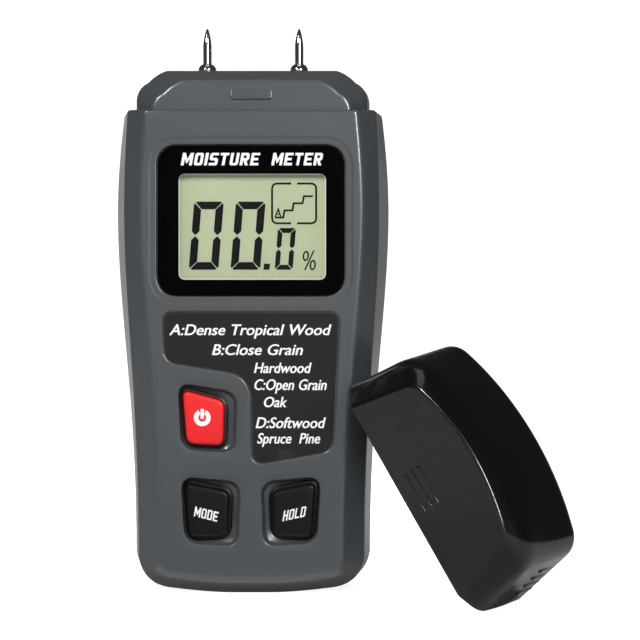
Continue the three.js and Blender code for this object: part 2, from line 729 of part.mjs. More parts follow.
function gripRibs() {
  const ribs = [];
  for (const side of [-1, 1]) {
    for (let i = 0; i < CAP_RIB.count; i += 1) {
      const z = CAP_RIB.low + CAP_RIB.pitch * i;
      const x = CAP_MIDDLE.half - CAP_MIDDLE.taper * z - 0.1;
      ribs.push(
        manifoldOf(rod(side * x, z, CAP_RIB.radius, CAP_RIB.front, CAP_RIB.back, 10)),
      );
    }
  }
  return ribs;
}

function faceBars() {
  return CAP_BAR_HEIGHTS.map((z) =>
    manifoldOf(box(-4.4, 5.2, -HALF_DEPTH - 0.3, -HALF_DEPTH + 0.5, z - 0.25, z + 0.25)));
}

function protectiveCap() {
  const outer = frontLoft([
    capRing(CAP_FACE, HALF_DEPTH),
    capRing(CAP_REAR_BAND, BAND),
    capRing(CAP_MIDDLE, 0),
    capRing(CAP_FRONT_BAND, -BAND),
    capRing(CAP_FACE, -HALF_DEPTH),
  ]);
  const inside = HEAD_FACE + FIT;
  const innerFace = { ...CAP_FACE, half: 23.7, taper: 0.12, crown: 18.6 };
  const hollow = frontLoft([
    capRing(innerFace, inside, 0, -2),
    capRing(CAP_REAR_BAND, BAND - 0.4, CAP_WALL, -2),
    capRing(CAP_MIDDLE, 0, CAP_WALL, -2),
    capRing(CAP_FRONT_BAND, -BAND + 0.4, CAP_WALL, -2),
    capRing(innerFace, -inside, 0, -2),
  ]);
  const cap = part(
    'protective_cap', cut(join(outer, ...gripRibs(), ...faceBars()), hollow), capPlastic,
  );
  cap.position.copy(CAP_MOUTH_CENTRE);
  const rad = THREE.MathUtils.degToRad;
  cap.rotation.set(rad(CAP_ROLL), rad(CAP_LEAN), rad(CAP_YAW), 'ZYX');
  return cap;
}

// ---- assembly ----
const group = new THREE.Group();
group.add(frontShell(), rearShell(), batteryDoor());
group.add(displayWindow(), lcdPanel(), lcdFrame(), zebraStrip(), speciesLabel());
group.add(circuitBoard(), controllerChip(), ...boardScrews(), ...caseScrews());
for (const key of KEYS) group.add(button(key), ...keySwitch(key));
group.add(pin('left_pin', -PIN_X), pin('right_pin', PIN_X));
group.add(pinCollar('left_pin_collar', -PIN_X), pinCollar('right_pin_collar', PIN_X));
group.add(pinSocket('left_pin_socket', -PIN_X), pinSocket('right_pin_socket', PIN_X));
group.add(pinLead('left_pin_lead', -1, redWire), pinLead('right_pin_lead', 1, blackWire));
group.add(battery(), batterySnap());
group.add(batteryLead('battery_lead_positive', -4, redWire));
group.add(batteryLead('battery_lead_negative', 4, blackWire));
group.add(protectiveCap());

export default group;
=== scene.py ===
"""Two-pin wood moisture meter on its foot, with its pin cap leaning against it.

Lengths in the geometry code are millimetres; meshes are scaled to metres when they are made.
The keypad and display face -Y, +Z is up and +X is to the right as seen from the front.
"""
import math

import bpy
import bmesh
import numpy as np
from mathutils import Matrix, Vector
from mathutils.geometry import delaunay_2d_cdt


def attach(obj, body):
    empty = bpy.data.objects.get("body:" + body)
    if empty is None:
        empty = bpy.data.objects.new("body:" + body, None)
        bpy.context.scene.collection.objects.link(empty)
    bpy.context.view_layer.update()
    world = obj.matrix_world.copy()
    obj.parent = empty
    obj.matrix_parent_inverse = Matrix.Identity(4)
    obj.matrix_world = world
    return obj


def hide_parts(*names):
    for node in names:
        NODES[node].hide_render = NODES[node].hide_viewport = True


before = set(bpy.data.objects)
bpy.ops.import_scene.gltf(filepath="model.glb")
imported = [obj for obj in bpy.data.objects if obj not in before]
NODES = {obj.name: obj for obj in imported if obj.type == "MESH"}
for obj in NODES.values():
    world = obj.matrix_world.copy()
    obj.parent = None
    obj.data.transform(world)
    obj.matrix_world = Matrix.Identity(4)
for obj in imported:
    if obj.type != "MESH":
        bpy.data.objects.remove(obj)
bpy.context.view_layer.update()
MM = 0.001


def linked(name, data):
    """a new object, put in the scene"""
    thing = bpy.data.objects.new(name, data)
    bpy.context.scene.collection.objects.link(thing)
    return thing


# ---- camera: level, looking along +Y ----
camera_data = bpy.data.cameras.new("camera")
camera_data.sensor_width = 36.0
camera_data.lens = 87.6
camera_data.clip_start = 0.01
camera = linked("camera", camera_data)
camera.location = (0.016, -0.3735, 0.0637)
camera.rotation_euler = (math.radians(90), 0, 0)
bpy.context.scene.camera = camera
bpy.context.scene.view_settings.view_transform = "Standard"


# ---- materials ----
def srgb(r, g, b):
    def linear(v):
        v /= 255
        return v / 12.92 if v <= 0.04045 else ((v + 0.055) / 1.055) ** 2.4
    return (linear(r), linear(g), linear(b), 1)


class Nodes:
    """Short names for building a node material."""

    def __init__(self, name):
        self.material = bpy.data.materials.new(name)
        self.material.use_nodes = True
        self.tree = self.material.node_tree
        self.shader = self.tree.nodes["Principled BSDF"]
        self.where = self.tree.nodes.new("ShaderNodeTexCoord").outputs["Object"]

    def feed(self, socket, value):
        if isinstance(value, bpy.types.NodeSocket):
            self.tree.links.new(value, socket)
        else:
            socket.default_value = value

    def add(self, kind, **inputs):
        node = self.tree.nodes.new("ShaderNode" + kind)
        for key, value in inputs.items():
            self.feed(node.inputs[key.replace("_", " ")], value)
        return node

    def link(self, output, socket):
        self.tree.links.new(output, self.shader.inputs[socket])

    def set(self, **values):
        """values that are the same all over, on the shader's own sockets"""
        for key, value in values.items():
            self.shader.inputs[key.replace("_", " ")].default_value = value

    def noise(self, scale, detail=3.0, roughness=0.5):
        return self.add("TexNoise", Vector=self.where, Scale=scale, Detail=detail,
                        Roughness=roughness).outputs["Fac"]

    def ranged(self, value, low, high, new_low, new_high):
        return self.add("MapRange", Value=value, From_Min=low, From_Max=high,
                        To_Min=new_low, To_Max=new_high).outputs["Result"]

    def mix(self, factor, first, second, blend_type="MIX"):
        node = self.tree.nodes.new("ShaderNodeMix")
        node.data_type = "RGBA"
        node.blend_type = blend_type
        for key, value in (("Factor", factor), (6, first), (7, second)):
            self.feed(node.inputs[key], value)
        return node.outputs[2]

    def bumped(self, layers):
        """layers of (height, strength, distance in metres), the finest last"""
        normal = None
        for height, strength, distance in layers:
            node = self.add("Bump", Height=height, Strength=strength, Distance=distance)
            if normal is not None:
                self.tree.links.new(normal, node.inputs["Normal"])
            normal = node.outputs["Normal"]
        self.link(normal, "Normal")

    def painted_gap_shade(self, color, deep):
        """painted shade: darkens the colour behind the depth `deep`, in mm along Y, where the gap
        round a key lies in shade
        """
        depth = self.add("SeparateXYZ", Vector=self.where).outputs["Y"]
        lit_share = self.ranged(depth, (deep - 0.25) * MM, (deep + 0.2) * MM, 1.0, 0.04)
        level = self.add("CombineColor", Red=lit_share, Green=lit_share, Blue=lit_share)
        return self.mix(1.0, color, level.outputs["Color"], "MULTIPLY")

    def edge_wear(self, most):
        """0 on flat faces, towards `most` where convex edges are rubbed"""
        pointy = self.add("NewGeometry").outputs["Pointiness"]
        return self.ranged(pointy, 0.515, 0.57, 0.0, most)


def tinted(color, factor):
    return tuple(channel * factor for channel in color[:3]) + (1,)


def moulded(name, color, rough, grain, vary=0.07, wear=0.12, specular=0.5, coat=0.0,
            deep=None):
    """moulded plastic: spark-eroded grain, slight colour and gloss drift, rubbed edges, and painted
    shade that darkens the colour behind the depth `deep`"""
    m = Nodes(name)
    tone = m.mix(m.noise(45, 4, 0.6), tinted(color, 1 - vary), tinted(color, 1 + vary))
    specks = m.mix(m.noise(2600, 2, 0.6), (0.9, 0.9, 0.9, 1), (1.1, 1.1, 1.1, 1))
    mottled = m.mix(1.0, tone, specks, "MULTIPLY")
    worn = m.mix(m.edge_wear(wear), mottled, tinted(color, 2.2))
    m.link(m.painted_gap_shade(worn, deep) if deep else worn, "Base Color")
    m.link(m.ranged(m.noise(70, 3, 0.5), 0.3, 0.7, rough - 0.02, rough + 0.03), "Roughness")
    m.set(Specular_IOR_Level=specular, Coat_Weight=coat, Coat_Roughness=0.09)
    m.bumped([(m.noise(30, 2, 0.4), 0.12, 0.0004), (m.noise(1900, 3, 0.6), grain, 0.00006)])
    return m.material


def polished(name, color, rough, specular):
    """clear-moulded or lacquered: faint ripple, dust-fine gloss change, no grain"""
    m = Nodes(name)
    m.link(m.mix(m.noise(60, 3), tinted(color, 0.92), tinted(color, 1.08)), "Base Color")
    m.link(m.ranged(m.noise(300, 4), 0.3, 0.7, rough * 0.8, rough * 1.25), "Roughness")
    m.set(Specular_IOR_Level=specular)
    m.bumped([(m.noise(18, 1, 0.3), 0.05, 0.0003)])
    return m.material


def plated(name, color, rough):
    """bright metal with turning marks round the pin's axis and slight handling haze"""
    m = Nodes(name)
    wave = m.add("TexWave", Vector=m.where, Scale=1400.0, Distortion=1.5)
    wave.bands_direction = "Z"
    m.link(m.mix(m.noise(400, 3), tinted(color, 0.88), tinted(color, 1.05)), "Base Color")
    m.link(m.ranged(m.noise(900, 4), 0.3, 0.7, rough * 0.7, rough * 1.5), "Roughness")
    m.set(Metallic=1.0)
    m.bumped([(wave.outputs["Fac"], 0.15, 0.00001)])
    return m.material


CASE = moulded("case_plastic", srgb(61, 65, 68), 0.3, 0.1, coat=0.2)
CAP = moulded("cap_plastic", srgb(5, 5, 7), 0.26, 0.06, vary=0.1, wear=0.01, specular=0.3,
              coat=0.6)
LABEL_FILM = moulded("label_film", srgb(31, 31, 32), 0.5, 0.35, wear=0.0, specular=0.12)
# the keys carry painted shade: their colour darkens behind y = -13.4 mm, down their sides in the
# gap round them
BLACK_KEY = moulded("black_key", srgb(12, 12, 14), 0.36, 0.15, wear=0.02, specular=0.17,
                    deep=-13.4)
RED_KEY = moulded("red_key", srgb(230, 36, 38), 0.34, 0.08, vary=0.04, wear=0.02,
                  specular=0.25, deep=-13.4)
PRINT_WHITE = moulded("print_white", srgb(240, 240, 238), 0.45, 0.1, vary=0.02, wear=0.0)
WINDOW_PRINT = polished("window_print", srgb(2, 2, 3), 0.3, 0.02)
LCD = polished("lcd_glass", srgb(183, 193, 158), 0.45, 0.12)
LCD_RIM = polished("lcd_rim", srgb(236, 240, 214), 0.4, 0.2)
LCD_INK = polished("lcd_ink", srgb(7, 7, 10), 0.4, 0.15)
NICKEL = plated("pin_nickel", (0.62, 0.62, 0.63, 1), 0.1)
BRASS = plated("socket_brass", (0.55, 0.36, 0.12, 1), 0.28)
STEEL = plated("screw_steel", (0.42, 0.43, 0.45, 1), 0.25)
CAN = moulded("battery_can", srgb(40, 42, 48), 0.35, 0.05, specular=0.6)
FRAME_PLASTIC = moulded("frame_plastic", (0.68, 0.66, 0.6, 1), 0.5, 0.15)
ZEBRA = moulded("zebra_rubber", (0.14, 0.05, 0.07, 1), 0.7, 0.3)
BOARD = moulded("board_laminate", (0.015, 0.1, 0.035, 1), 0.4, 0.1)
CHIP = moulded("chip_plastic", (0.01, 0.01, 0.011, 1), 0.55, 0.3)
RED_WIRE = moulded("red_wire", (0.4, 0.02, 0.02, 1), 0.45, 0.1)
BLACK_WIRE = moulded("black_wire", (0.01, 0.01, 0.01, 1), 0.45, 0.1)


def clear_pane():
    """thin clear window: see-through, with the gloss of polished acrylic"""
    m = Nodes("window_plastic")
    m.link(m.ranged(m.noise(300, 4), 0.3, 0.7, 0.03, 0.06), "Roughness")
    m.set(Base_Color=(0.0, 0.0, 0.0, 1), Specular_IOR_Level=0.04, Alpha=0.04)
    m.bumped([(m.noise(14, 1, 0.3), 0.04, 0.0003)])
    return m.material


PANE = clear_pane()


# ---- mesh building ----
class Skin:
    """Points in millimetres and faces, gathered ring by ring into one mesh."""

    def __init__(self):
        self.points = []
        self.faces = []

    def ring(self, points):
        start = len(self.points)
        self.points.extend(tuple(map(float, p)) for p in points)
        return list(range(start, len(self.points)))

    def band(self, a, b, skip=()):
        n = len(a)
        for i in range(n):
            j = (i + 1) % n
            if i not in skip:
                self.faces.append((a[i], a[j], b[j], b[i]))

    def rings(self, loops, skip=()):
        """joins each ring to the next and returns the first and the last"""
        for a, b in zip(loops, loops[1:]):
            self.band(a, b, skip)
        return loops[0], loops[-1]

    def levels(self, corners, radii, levels):
        """a ring of the rounded polygon for each (grow, y)"""
        return [self.ring(at_depth(polygon(corners, radii, grow), y)) for grow, y in levels]

    def fill(self, outer, holes=(), spacing=2.5):
        """closes the space between rings, seen along Y, with even triangles"""
        loops = [outer, *holes]
        ids = [v for loop in loops for v in loop]
        flat = np.array([(self.points[v][0], self.points[v][2]) for v in ids])
        edges, shapes, start = [], [], 0
        for loop in loops:
            n = len(loop)
            edges += [(start + i, start + (i + 1) % n) for i in range(n)]
            shapes.append(flat[start:start + n])
            start += n
        low, high = flat.min(0), flat.max(0)
        grid = np.array([(x + (row % 2) * spacing / 2, z)
                         for row, z in enumerate(np.arange(low[1] + spacing * 0.45, high[1],
                                                           spacing * 0.87))
                         for x in np.arange(low[0], high[0], spacing)])
        kept = np.zeros((0, 2))
        if len(grid):
            near = np.min(np.linalg.norm(grid[:, None] - flat[None], axis=2), axis=1)
            kept = grid[inside_all(grid, shapes) & (near > spacing * 0.45)]
        depth = self.points[ids[0]][1]
        extra = self.ring([(x, depth, z) for x, z in kept])
        coords = [Vector(p) for p in np.vstack([flat, kept])]
        lookup = ids + extra
        verts, _, faces, origins, _, _ = delaunay_2d_cdt(coords, edges, [], 0, 1e-7)
        centres = np.array([sum((verts[v] for v in f), Vector((0, 0))) / 3 for f in faces])
        wanted = inside_all(centres, shapes)
        for face, keep in zip(faces, wanted):
            if keep:
                self.faces.append(tuple(lookup[origins[v][0]] for v in face))

    def pocket(self, corners, radii, levels, spacing=2.5):
        """rings closed at the last one by a floor; returns the first"""
        start, end = self.rings(self.levels(corners, radii, levels))
        self.fill(end, spacing=spacing)
        return start

    def slab(self, corners, radii, levels, front=2.5, back=2.5):
        """a flat solid from its back ring to its front ring"""
        self.fill(self.pocket(corners, radii, levels, front), spacing=back)
        return self

    def fan(self, loop, centre):
        middle = self.ring([centre])[0]
        n = len(loop)
        self.faces += [(loop[i], loop[(i + 1) % n], middle) for i in range(n)]

    def capped(self, loops, first, last):
        """rings closed at both ends by fans round these points"""
        start, end = self.rings(loops)
        self.fan(start, first)
        self.fan(end, last)

    def block(self, x0, x1, y0, y1, z0, z1):
        a = self.ring([(x, y, z) for y in (y0, y1)
                       for x, z in ((x0, z0), (x1, z0), (x1, z1), (x0, z1))])
        self.band(a[:4], a[4:])
        self.faces += [tuple(a[:4]), tuple(a[4:])]

    def mesh(self, name, sharp=32):
        bm = bmesh.new()
        verts = [bm.verts.new(Vector(p) * MM) for p in self.points]
        for face in self.faces:
            if len(set(face)) > 2:
                try:
                    bm.faces.new([verts[v] for v in face])
                except ValueError:
                    pass
        loose = [v for v in bm.verts if not v.link_faces]
        bmesh.ops.delete(bm, geom=loose, context="VERTS")
        bmesh.ops.recalc_face_normals(bm, faces=bm.faces)
        mesh = bpy.data.meshes.new(name)
        bm.to_mesh(mesh)
        bm.free()
        mesh.shade_smooth()
        mesh.set_sharp_from_angle(angle=math.radians(sharp))
        return mesh


def inside_all(points, shapes):
    """inside the first outline and outside the others"""
    result = None
    for k, shape in enumerate(shapes):
        x, z = points[:, 0][:, None], points[:, 1][:, None]
        x0, z0 = shape[:, 0][None], shape[:, 1][None]
        x1, z1 = np.roll(shape[:, 0], -1)[None], np.roll(shape[:, 1], -1)[None]
        straddles = (z0 > z) != (z1 > z)
        slope = np.where(z1 == z0, 1.0, z1 - z0)
        crosses = straddles & (x < (x1 - x0) * (z - z0) / slope + x0)
        within = crosses.sum(1) % 2 == 1
        result = within if k == 0 else result & ~within
    return result


def piece(name, skin, material, body, replaces=(), matrix=None, sharp=32,
          weighted=True):
    mesh = skin if isinstance(skin, bpy.types.Mesh) else skin.mesh(name, sharp)
    mesh.materials.clear()
    mesh.materials.append(material)
    if matrix is not None:
        mesh.transform(matrix)
    thing = linked(name, mesh)
    if weighted:
        modifier = thing.modifiers.new("weighted_normals", "WEIGHTED_NORMAL")
        modifier.keep_sharp = True
        modifier.weight = 80
    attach(thing, body)
    if replaces:
        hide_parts(*replaces)


def evaluated_mesh(thing):
    bpy.context.view_layer.update()
    return bpy.data.meshes.new_from_object(
        thing.evaluated_get(bpy.context.evaluated_depsgraph_get()))


def difference(mesh, cutter_mesh, sharp):
    cutter, thing = linked("cutter", cutter_mesh), linked("uncut", mesh)
    boolean = thing.modifiers.new("cut", "BOOLEAN")
    boolean.operation = "DIFFERENCE"
    boolean.solver = "EXACT"
    boolean.use_self = True
    boolean.object = cutter
    result = evaluated_mesh(thing)
    bpy.data.objects.remove(thing)
    bpy.data.objects.remove(cutter)
    result.shade_smooth()
    result.set_sharp_from_angle(angle=math.radians(sharp))
    return result


# ---- outlines, as arrays of (x, z) running counter-clockwise seen from the front ----
def bezier(points, steps):
    """samples after the first point up to and including the last"""
    t = (np.arange(1, steps + 1) / steps)[:, None]
    p = [np.array(q, float) for q in points]
    if len(p) == 2:
        return p[0] + (p[1] - p[0]) * t
    if len(p) == 3:
        return (1 - t) ** 2 * p[0] + 2 * t * (1 - t) * p[1] + t ** 2 * p[2]
    return ((1 - t) ** 3 * p[0] + 3 * t * (1 - t) ** 2 * p[1]
            + 3 * t ** 2 * (1 - t) * p[2] + t ** 3 * p[3])


def both_sides(half):
    """a right-hand path from the bottom middle to the top middle, closed by its mirror"""
    left = half[1:-1][::-1] * np.array([-1, 1])
    return np.vstack([half, left])


def normals(points):
    along = np.roll(points, -1, 0) - np.roll(points, 1, 0)
    out = np.stack([along[:, 1], -along[:, 0]], 1)
    return out / np.linalg.norm(out, axis=1)[:, None]


def at_depth(points, y):
    depths = np.broadcast_to(np.asarray(y, float), (len(points),))
    return np.stack([points[:, 0], depths, points[:, 1]], 1)


def rounded_edge(before, edge, after, reach, steps=6):
    """rings that turn the corner at `edge` smoothly, from `before` towards `after`"""
    def towards(other):
        gap = np.linalg.norm(other - edge, axis=1)[:, None]
        return edge + (other - edge) * np.minimum(reach / np.maximum(gap, 1e-9), 0.45)
    a, b = towards(before), towards(after)
    return [(1 - t) ** 2 * a + 2 * t * (1 - t) * edge + t ** 2 * b
            for t in np.linspace(0, 1, steps)]


def between(first, last, *shares):
    return [first + (last - first) * t for t in shares]


def polygon(corners, radii, grow=0.0, corner_steps=7, edge_steps=5):
    """a polygon with rounded corners, every edge moved outwards by `grow`"""
    p = np.array(corners, float)
    n = len(p)
    if np.isscalar(radii):
        radii = [radii] * n
    moved, bends = [], []
    for i in range(n):
        a = p[i] - p[i - 1]
        b = p[(i + 1) % n] - p[i]
        a, b = a / np.linalg.norm(a), b / np.linalg.norm(b)
        na, nb = np.array([a[1], -a[0]]), np.array([b[1], -b[0]])
        moved.append(p[i] + (na + nb) * grow / (1 + na @ nb))
        bends.append(math.copysign(1, a[0] * b[1] - a[1] * b[0]))

    def cut_back(i, other):
        """where the rounding of corner i starts, on its edge towards the other corner"""
        r = max(radii[i] + grow * bends[i], 0.05)
        gap = moved[other] - moved[i]
        return moved[i] + gap / np.linalg.norm(gap) * r

    result = []
    for i in range(n):
        after = (i + 1) % n
        enter, leave = cut_back(i, i - 1), cut_back(i, after)
        result += [enter[None],
                   bezier([enter, moved[i] * 0.9 + (enter + leave) * 0.05, leave], corner_steps),
                   bezier([leave, cut_back(after, i)], edge_steps)[:-1]]
    return np.vstack(result)


def box_corners(x0, x1, z0, z1):
    return [(x0, z0), (x1, z0), (x1, z1), (x0, z1)]


def turns(sides):
    """angles evenly round a circle"""
    return np.arange(sides) * 2 * math.pi / sides


def circle(x, z, radius, sides=48):
    a = turns(sides)
    return np.stack([x + radius * np.cos(a), z + radius * np.sin(a)], 1)


# ---- body and head dimensions ----
HALF_DEPTH = 13.5
BAND = 9.5
FACE_INNER = 11.4
PARTING_GAP = 0.1
SHOULDER_Z = 112.8
HEAD_TOP = 122.6
HEAD_HALF = 27.9
HEAD_BAND = 7.5
HEAD_FACE = 11.5
WALL = 2.0
WIDEST_Z = 89
FOOT_HALF = 4
FOOT_ARC = 6
SIDE_CORNER = 0.7

RING_MIDDLE = dict(low=28.0, wide=32.5, shoulder=30.85, top=SHOULDER_Z, base=0,
                   corner_x=20.2, corner_rise=1.2, corner_top=8.5)
RING_BAND = dict(low=26.4, wide=29.8, shoulder=28.95, top=SHOULDER_Z, base=0,
                 corner_x=19.3, corner_rise=1.2, corner_top=8.5)
RING_FACE = dict(low=21.3, wide=26.0, shoulder=24.5, top=SHOULDER_Z - 0.5, base=3.75,
                 corner_x=18.6, corner_rise=1.0, corner_top=8.3)


def body_outline(ring, shrink=0.0):
    low, wide, shoulder = (ring[k] - shrink for k in ("low", "wide", "shoulder"))
    base, top = ring["base"] + shrink, ring["top"] - shrink
    corner_x = ring["corner_x"] - shrink * 0.4
    corner_top = ring["corner_top"] + shrink * 0.3
    rise = base + ring["corner_rise"]
    knee = shoulder + 0.5 * (wide - shoulder)
    r = SIDE_CORNER
    cut = low - corner_x
    half = np.vstack([
        [(0, base)],
        bezier([(0, base), (FOOT_HALF, base)], 3),
        bezier([(FOOT_HALF, base), (FOOT_HALF + FOOT_ARC, base), (corner_x, rise)], 11),
        bezier([(corner_x, rise), (corner_x + 0.55 * cut, rise + 0.09 * cut),
                (low - 0.1 * cut, corner_top - 0.63 * cut), (low, corner_top)], 14),
        bezier([(low, corner_top), (low, 44), (wide - 0.1, 66), (wide, WIDEST_Z)], 22),
        bezier([(wide, WIDEST_Z), (wide, 98), (knee, 106), (shoulder + r * 0.12, top - r)], 12),
        bezier([(shoulder + r * 0.12, top - r), (shoulder, top), (shoulder - r, top)], 5),
        bezier([(shoulder - r, top), (0, top)], 11),
    ])
    return both_sides(half)


def head_outline(inset, top_inset):
    low = SHOULDER_Z - 1.5
    half = HEAD_HALF - inset
    top = HEAD_TOP - top_inset
    path = np.vstack([
        [(0, low)],
        bezier([(0, low), (half, low)], 11),
        bezier([(half, low), (half, top - 6.9)], 4),
        bezier([(half, top - 6.9), (half - 0.3, top - 4.0), (half - 2.7, top - 2.9)], 8),
        bezier([(half - 2.7, top - 2.9), (half - 4.9, top - 0.6), (half - 7.2, top)], 8),
        bezier([(half - 7.2, top), (0, top)], 8),
    ])
    return both_sides(path)


WINDOW = box_corners(-21.7, 21.7, 69.25, 104.2)
WINDOW_CORNER = 4.6
WINDOW_OPENING = box_corners(-19, 19, 71, 101)
APERTURE = box_corners(-16.8, 17.4, 73.05, 97.65)
POWER_KEY = [(-14.75, 35.1), (-6.3, 34.6), (-6.1, 44.9), (-15.75, 47.5)]
MODE_KEY = [(-14.15, 13.4), (-5.35, 13.8), (-4.9, 24.0), (-15.0, 26.1)]
POWER_WELL = [(-16.2, 33.6), (-3.2, 32.8), (-2.8, 47.2), (-17.0, 49.4)]
MODE_WELL = [(-15.4, 12.0), (-2.6, 11.0), (-2.1, 26.6), (-16.3, 27.6)]
WELL_CORNER = 3.2
KEYHOLE_CORNER = 1.9
KEY_GAP = 0.85
KEY_CORNER = 1.7
KEY_TOP = -14.1
LABEL = [(-20.45, 65.45), (-19.95, 54.0), (0.0, 50.85), (0.3, 30.1), (19.0, 33.4),
         (20.55, 65.45)]
LABEL_RADII = [2.4, 2.8, 5.2, 3.0, 3.1, 2.4]
DOOR = dict(half=15.6, low=14.0, high=70.0, pivot_y=12.55, pivot_z=14.95, edge=0.95)
DOOR_CORNER = 0.9
FIT = 0.3
CASE_SCREWS = {"lower_left": (-18, 8.6), "lower_right": (18, 8.6),
               "upper_left": (-18.5, 114.8), "upper_right": (18.5, 114.8)}
SCREW_SEAT = 9.3


def mirrored_corners(corners):
    return [(-x, z) for x, z in corners][::-1]


KEYS = {
    "power": (POWER_KEY, POWER_WELL, RED_KEY, "red_key"),
    "mode": (MODE_KEY, MODE_WELL, BLACK_KEY, "black_key"),
    "hold": (mirrored_corners(MODE_KEY), mirrored_corners(MODE_WELL), BLACK_KEY, "black_key"),
}


# each of these cuts a recess or opening and returns its outer and, if open, its inner ring
def window_recess(skin):
    seat = skin.levels(WINDOW, WINDOW_CORNER, [
        (2.3, -13.5), (2.1, -13.5), (1.9, -13.47), (1.6, -13.41), (1.4, -13.39),
        (0.5, -13.39), (0.32, -13.37), (0.2, -13.3), (0.15, -13.15), (0.15, -12.0)])
    return skin.rings(seat + skin.levels(WINDOW_OPENING, 2, [(0, -12.0), (0, -FACE_INNER)]))


def label_recess(skin):
    return skin.pocket(LABEL, LABEL_RADII, [
        (0.62, -13.5), (0.5, -13.5), (0.38, -13.48), (0.22, -13.41), (0.1, -13.3),
        (0.05, -13.15), (0.05, -12.95)], 3)


def key_well(skin, key, well):
    """a dish that drops steeply at its outer edge to a floor round the keyhole"""
    rim = polygon(well, WELL_CORNER)
    hole = polygon(key, KEYHOLE_CORNER, KEY_GAP)
    width = np.linalg.norm(hole - rim, axis=1)
    wall = np.minimum(1.3, 0.75 * width)
    loops = skin.levels(well, WELL_CORNER, (
        (1.5, -13.5), (1.3, -13.495), (0.9, -13.47), (0.5, -13.44), (0.3, -13.43)))
    for s in (0.0, 0.05, 0.1, 0.16, 0.23, 0.3, 0.38, 0.46, 0.54, 0.62, 0.7, 0.78, 0.87, 1.0):
        along = s * width
        drop = np.clip(along / wall, 0, 1)
        drop = drop * drop * (3 - 2 * drop)
        rise = np.clip((along - wall) / np.maximum(width - wall, 1e-6), 0, 1)
        y = -13.41 + 1.05 * drop + 0.35 * rise
        loops.append(skin.ring(at_depth(rim + (hole - rim) * s, y)))
    return skin.rings(loops + skin.levels(key, KEYHOLE_CORNER, (
        (KEY_GAP - 0.03, -11.98), (KEY_GAP - 0.05, -11.9), (KEY_GAP - 0.05, -11.75),
        (KEY_GAP - 0.05, -FACE_INNER))))


def doorway(skin):
    d = DOOR
    shape = box_corners(-d["half"] - FIT, d["half"] + FIT, d["low"] - FIT, d["high"] + FIT)
    return skin.rings(skin.levels(shape, DOOR_CORNER, (
        (0.5, 13.5), (0.4, 13.5), (0.28, 13.47), (0.12, 13.38), (0.02, 13.24),
        (0.0, 13.1), (0.0, FACE_INNER))))


def moulding(skin, side, outlines, low, high, rim, last):
    """one half's outer skin, from the parting line over the two bevels to the face; the
    outlines are those of the gap, the parting plane, the band, the face and its flat"""
    parting, middle, band, face, flat = (at_depth(points, side * y) for points, y in outlines)
    rows = [parting, *between(middle, band, *low), *rounded_edge(middle, band, face, 0.45),
            *between(band, face, *high), *rounded_edge(band, face, flat, *rim),
            *between(face, flat, last)]
    return skin.rings([skin.ring(row) for row in rows])


def half_case(skin, side, face_outer, face_inner):
    """one moulded half: side -1 is the front, +1 the back"""
    outline = body_outline(RING_MIDDLE)
    parting, rim = moulding(skin, side, (
        (outline - normals(outline) * 0.15, PARTING_GAP), (outline, PARTING_GAP),
        (body_outline(RING_BAND), BAND), (body_outline(RING_FACE), HALF_DEPTH),
        (body_outline(RING_FACE, 2.0), HALF_DEPTH)), (0.02, 0.3, 0.62), (0.3, 0.6), (0.95, 9), 0.58)
    skin.fill(rim, face_outer)
    start, end = skin.rings([
        skin.ring(at_depth(body_outline(ring, shrink), side * y)) for ring, shrink, y in (
            (RING_FACE, 0.3, FACE_INNER), (RING_BAND, WALL, BAND - 0.5),
            (RING_MIDDLE, WALL, PARTING_GAP))])
    skin.fill(start, face_inner, spacing=4)
    skin.band(parting, end)
    start, end = moulding(skin, side, (
        (head_outline(0.15, 0.15), PARTING_GAP), (head_outline(0, 0), PARTING_GAP),
        (head_outline(0.8, 0.3), HEAD_BAND), (head_outline(4.9, 3.3), HEAD_FACE),
        (head_outline(6.4, 4.8), HEAD_FACE)), (0.03, 0.4, 0.75), (0.35, 0.65), (0.8, 8), 0.6)
    skin.fill(end)
    skin.fill(start)


def snap_bump(skin, side):
    """the low wedge on the head that the pin cap snaps over"""
    corners = [(-5.05, 114.9), (5.05, 114.9), (4.75, 117.7), (-4.75, 117.7)]
    loops = []
    for inset, lift in ((0.0, -0.3), (0.0, 0.0), (0.02, 0.4), (0.1, 0.75), (0.25, 0.95),
                        (0.42, 1.0)):
        shape = polygon(corners, 1.1, -inset)
        slope = np.clip((117.75 - shape[:, 1]) / 2.4, 0.0, 1.0)
        loops.append(skin.ring(at_depth(shape, side * (HEAD_FACE + 0.34 * lift * slope))))
    skin.rings(loops)
    skin.fill(loops[0])
    skin.fill(loops[-1])


def front_case():
    skin = Skin()
    start, end = window_recess(skin)
    outer, inner = [start, label_recess(skin)], [end]
    for key, well, _, _ in KEYS.values():
        start, end = key_well(skin, key, well)
        outer.append(start)
        inner.append(end)
    half_case(skin, -1, outer, inner)
    snap_bump(skin, -1)
    return skin


def rear_case():
    skin = Skin()
    start, end = doorway(skin)
    half_case(skin, 1, [start], [end])
    snap_bump(skin, 1)
    for wall in ((-17.6, -16.2, -5.9, 11.6, 14.6, 71.5), (16.2, 17.6, -5.9, 11.6, 14.6, 71.5),
                 (-16.6, 16.6, 3.0, 11.6, 71.0, 72.4), (-16.6, 16.6, -5.9, 11.1, 14.6, 16.0)):
        skin.block(*wall)
    wells = Skin()
    past = HALF_DEPTH + 1
    for x, z in CASE_SCREWS.values():
        wells.capped([wells.ring(at_depth(circle(x, z, 2.9), y)) for y in (SCREW_SEAT, past)],
                     (x, SCREW_SEAT, z), (x, past, z))
    return difference(skin.mesh("rear_case"), wells.mesh("wells"), 32)


piece("front_case", front_case(), CASE, "meter", ["front_shell"])
piece("rear_case", rear_case(), CASE, "meter", ["rear_shell"])


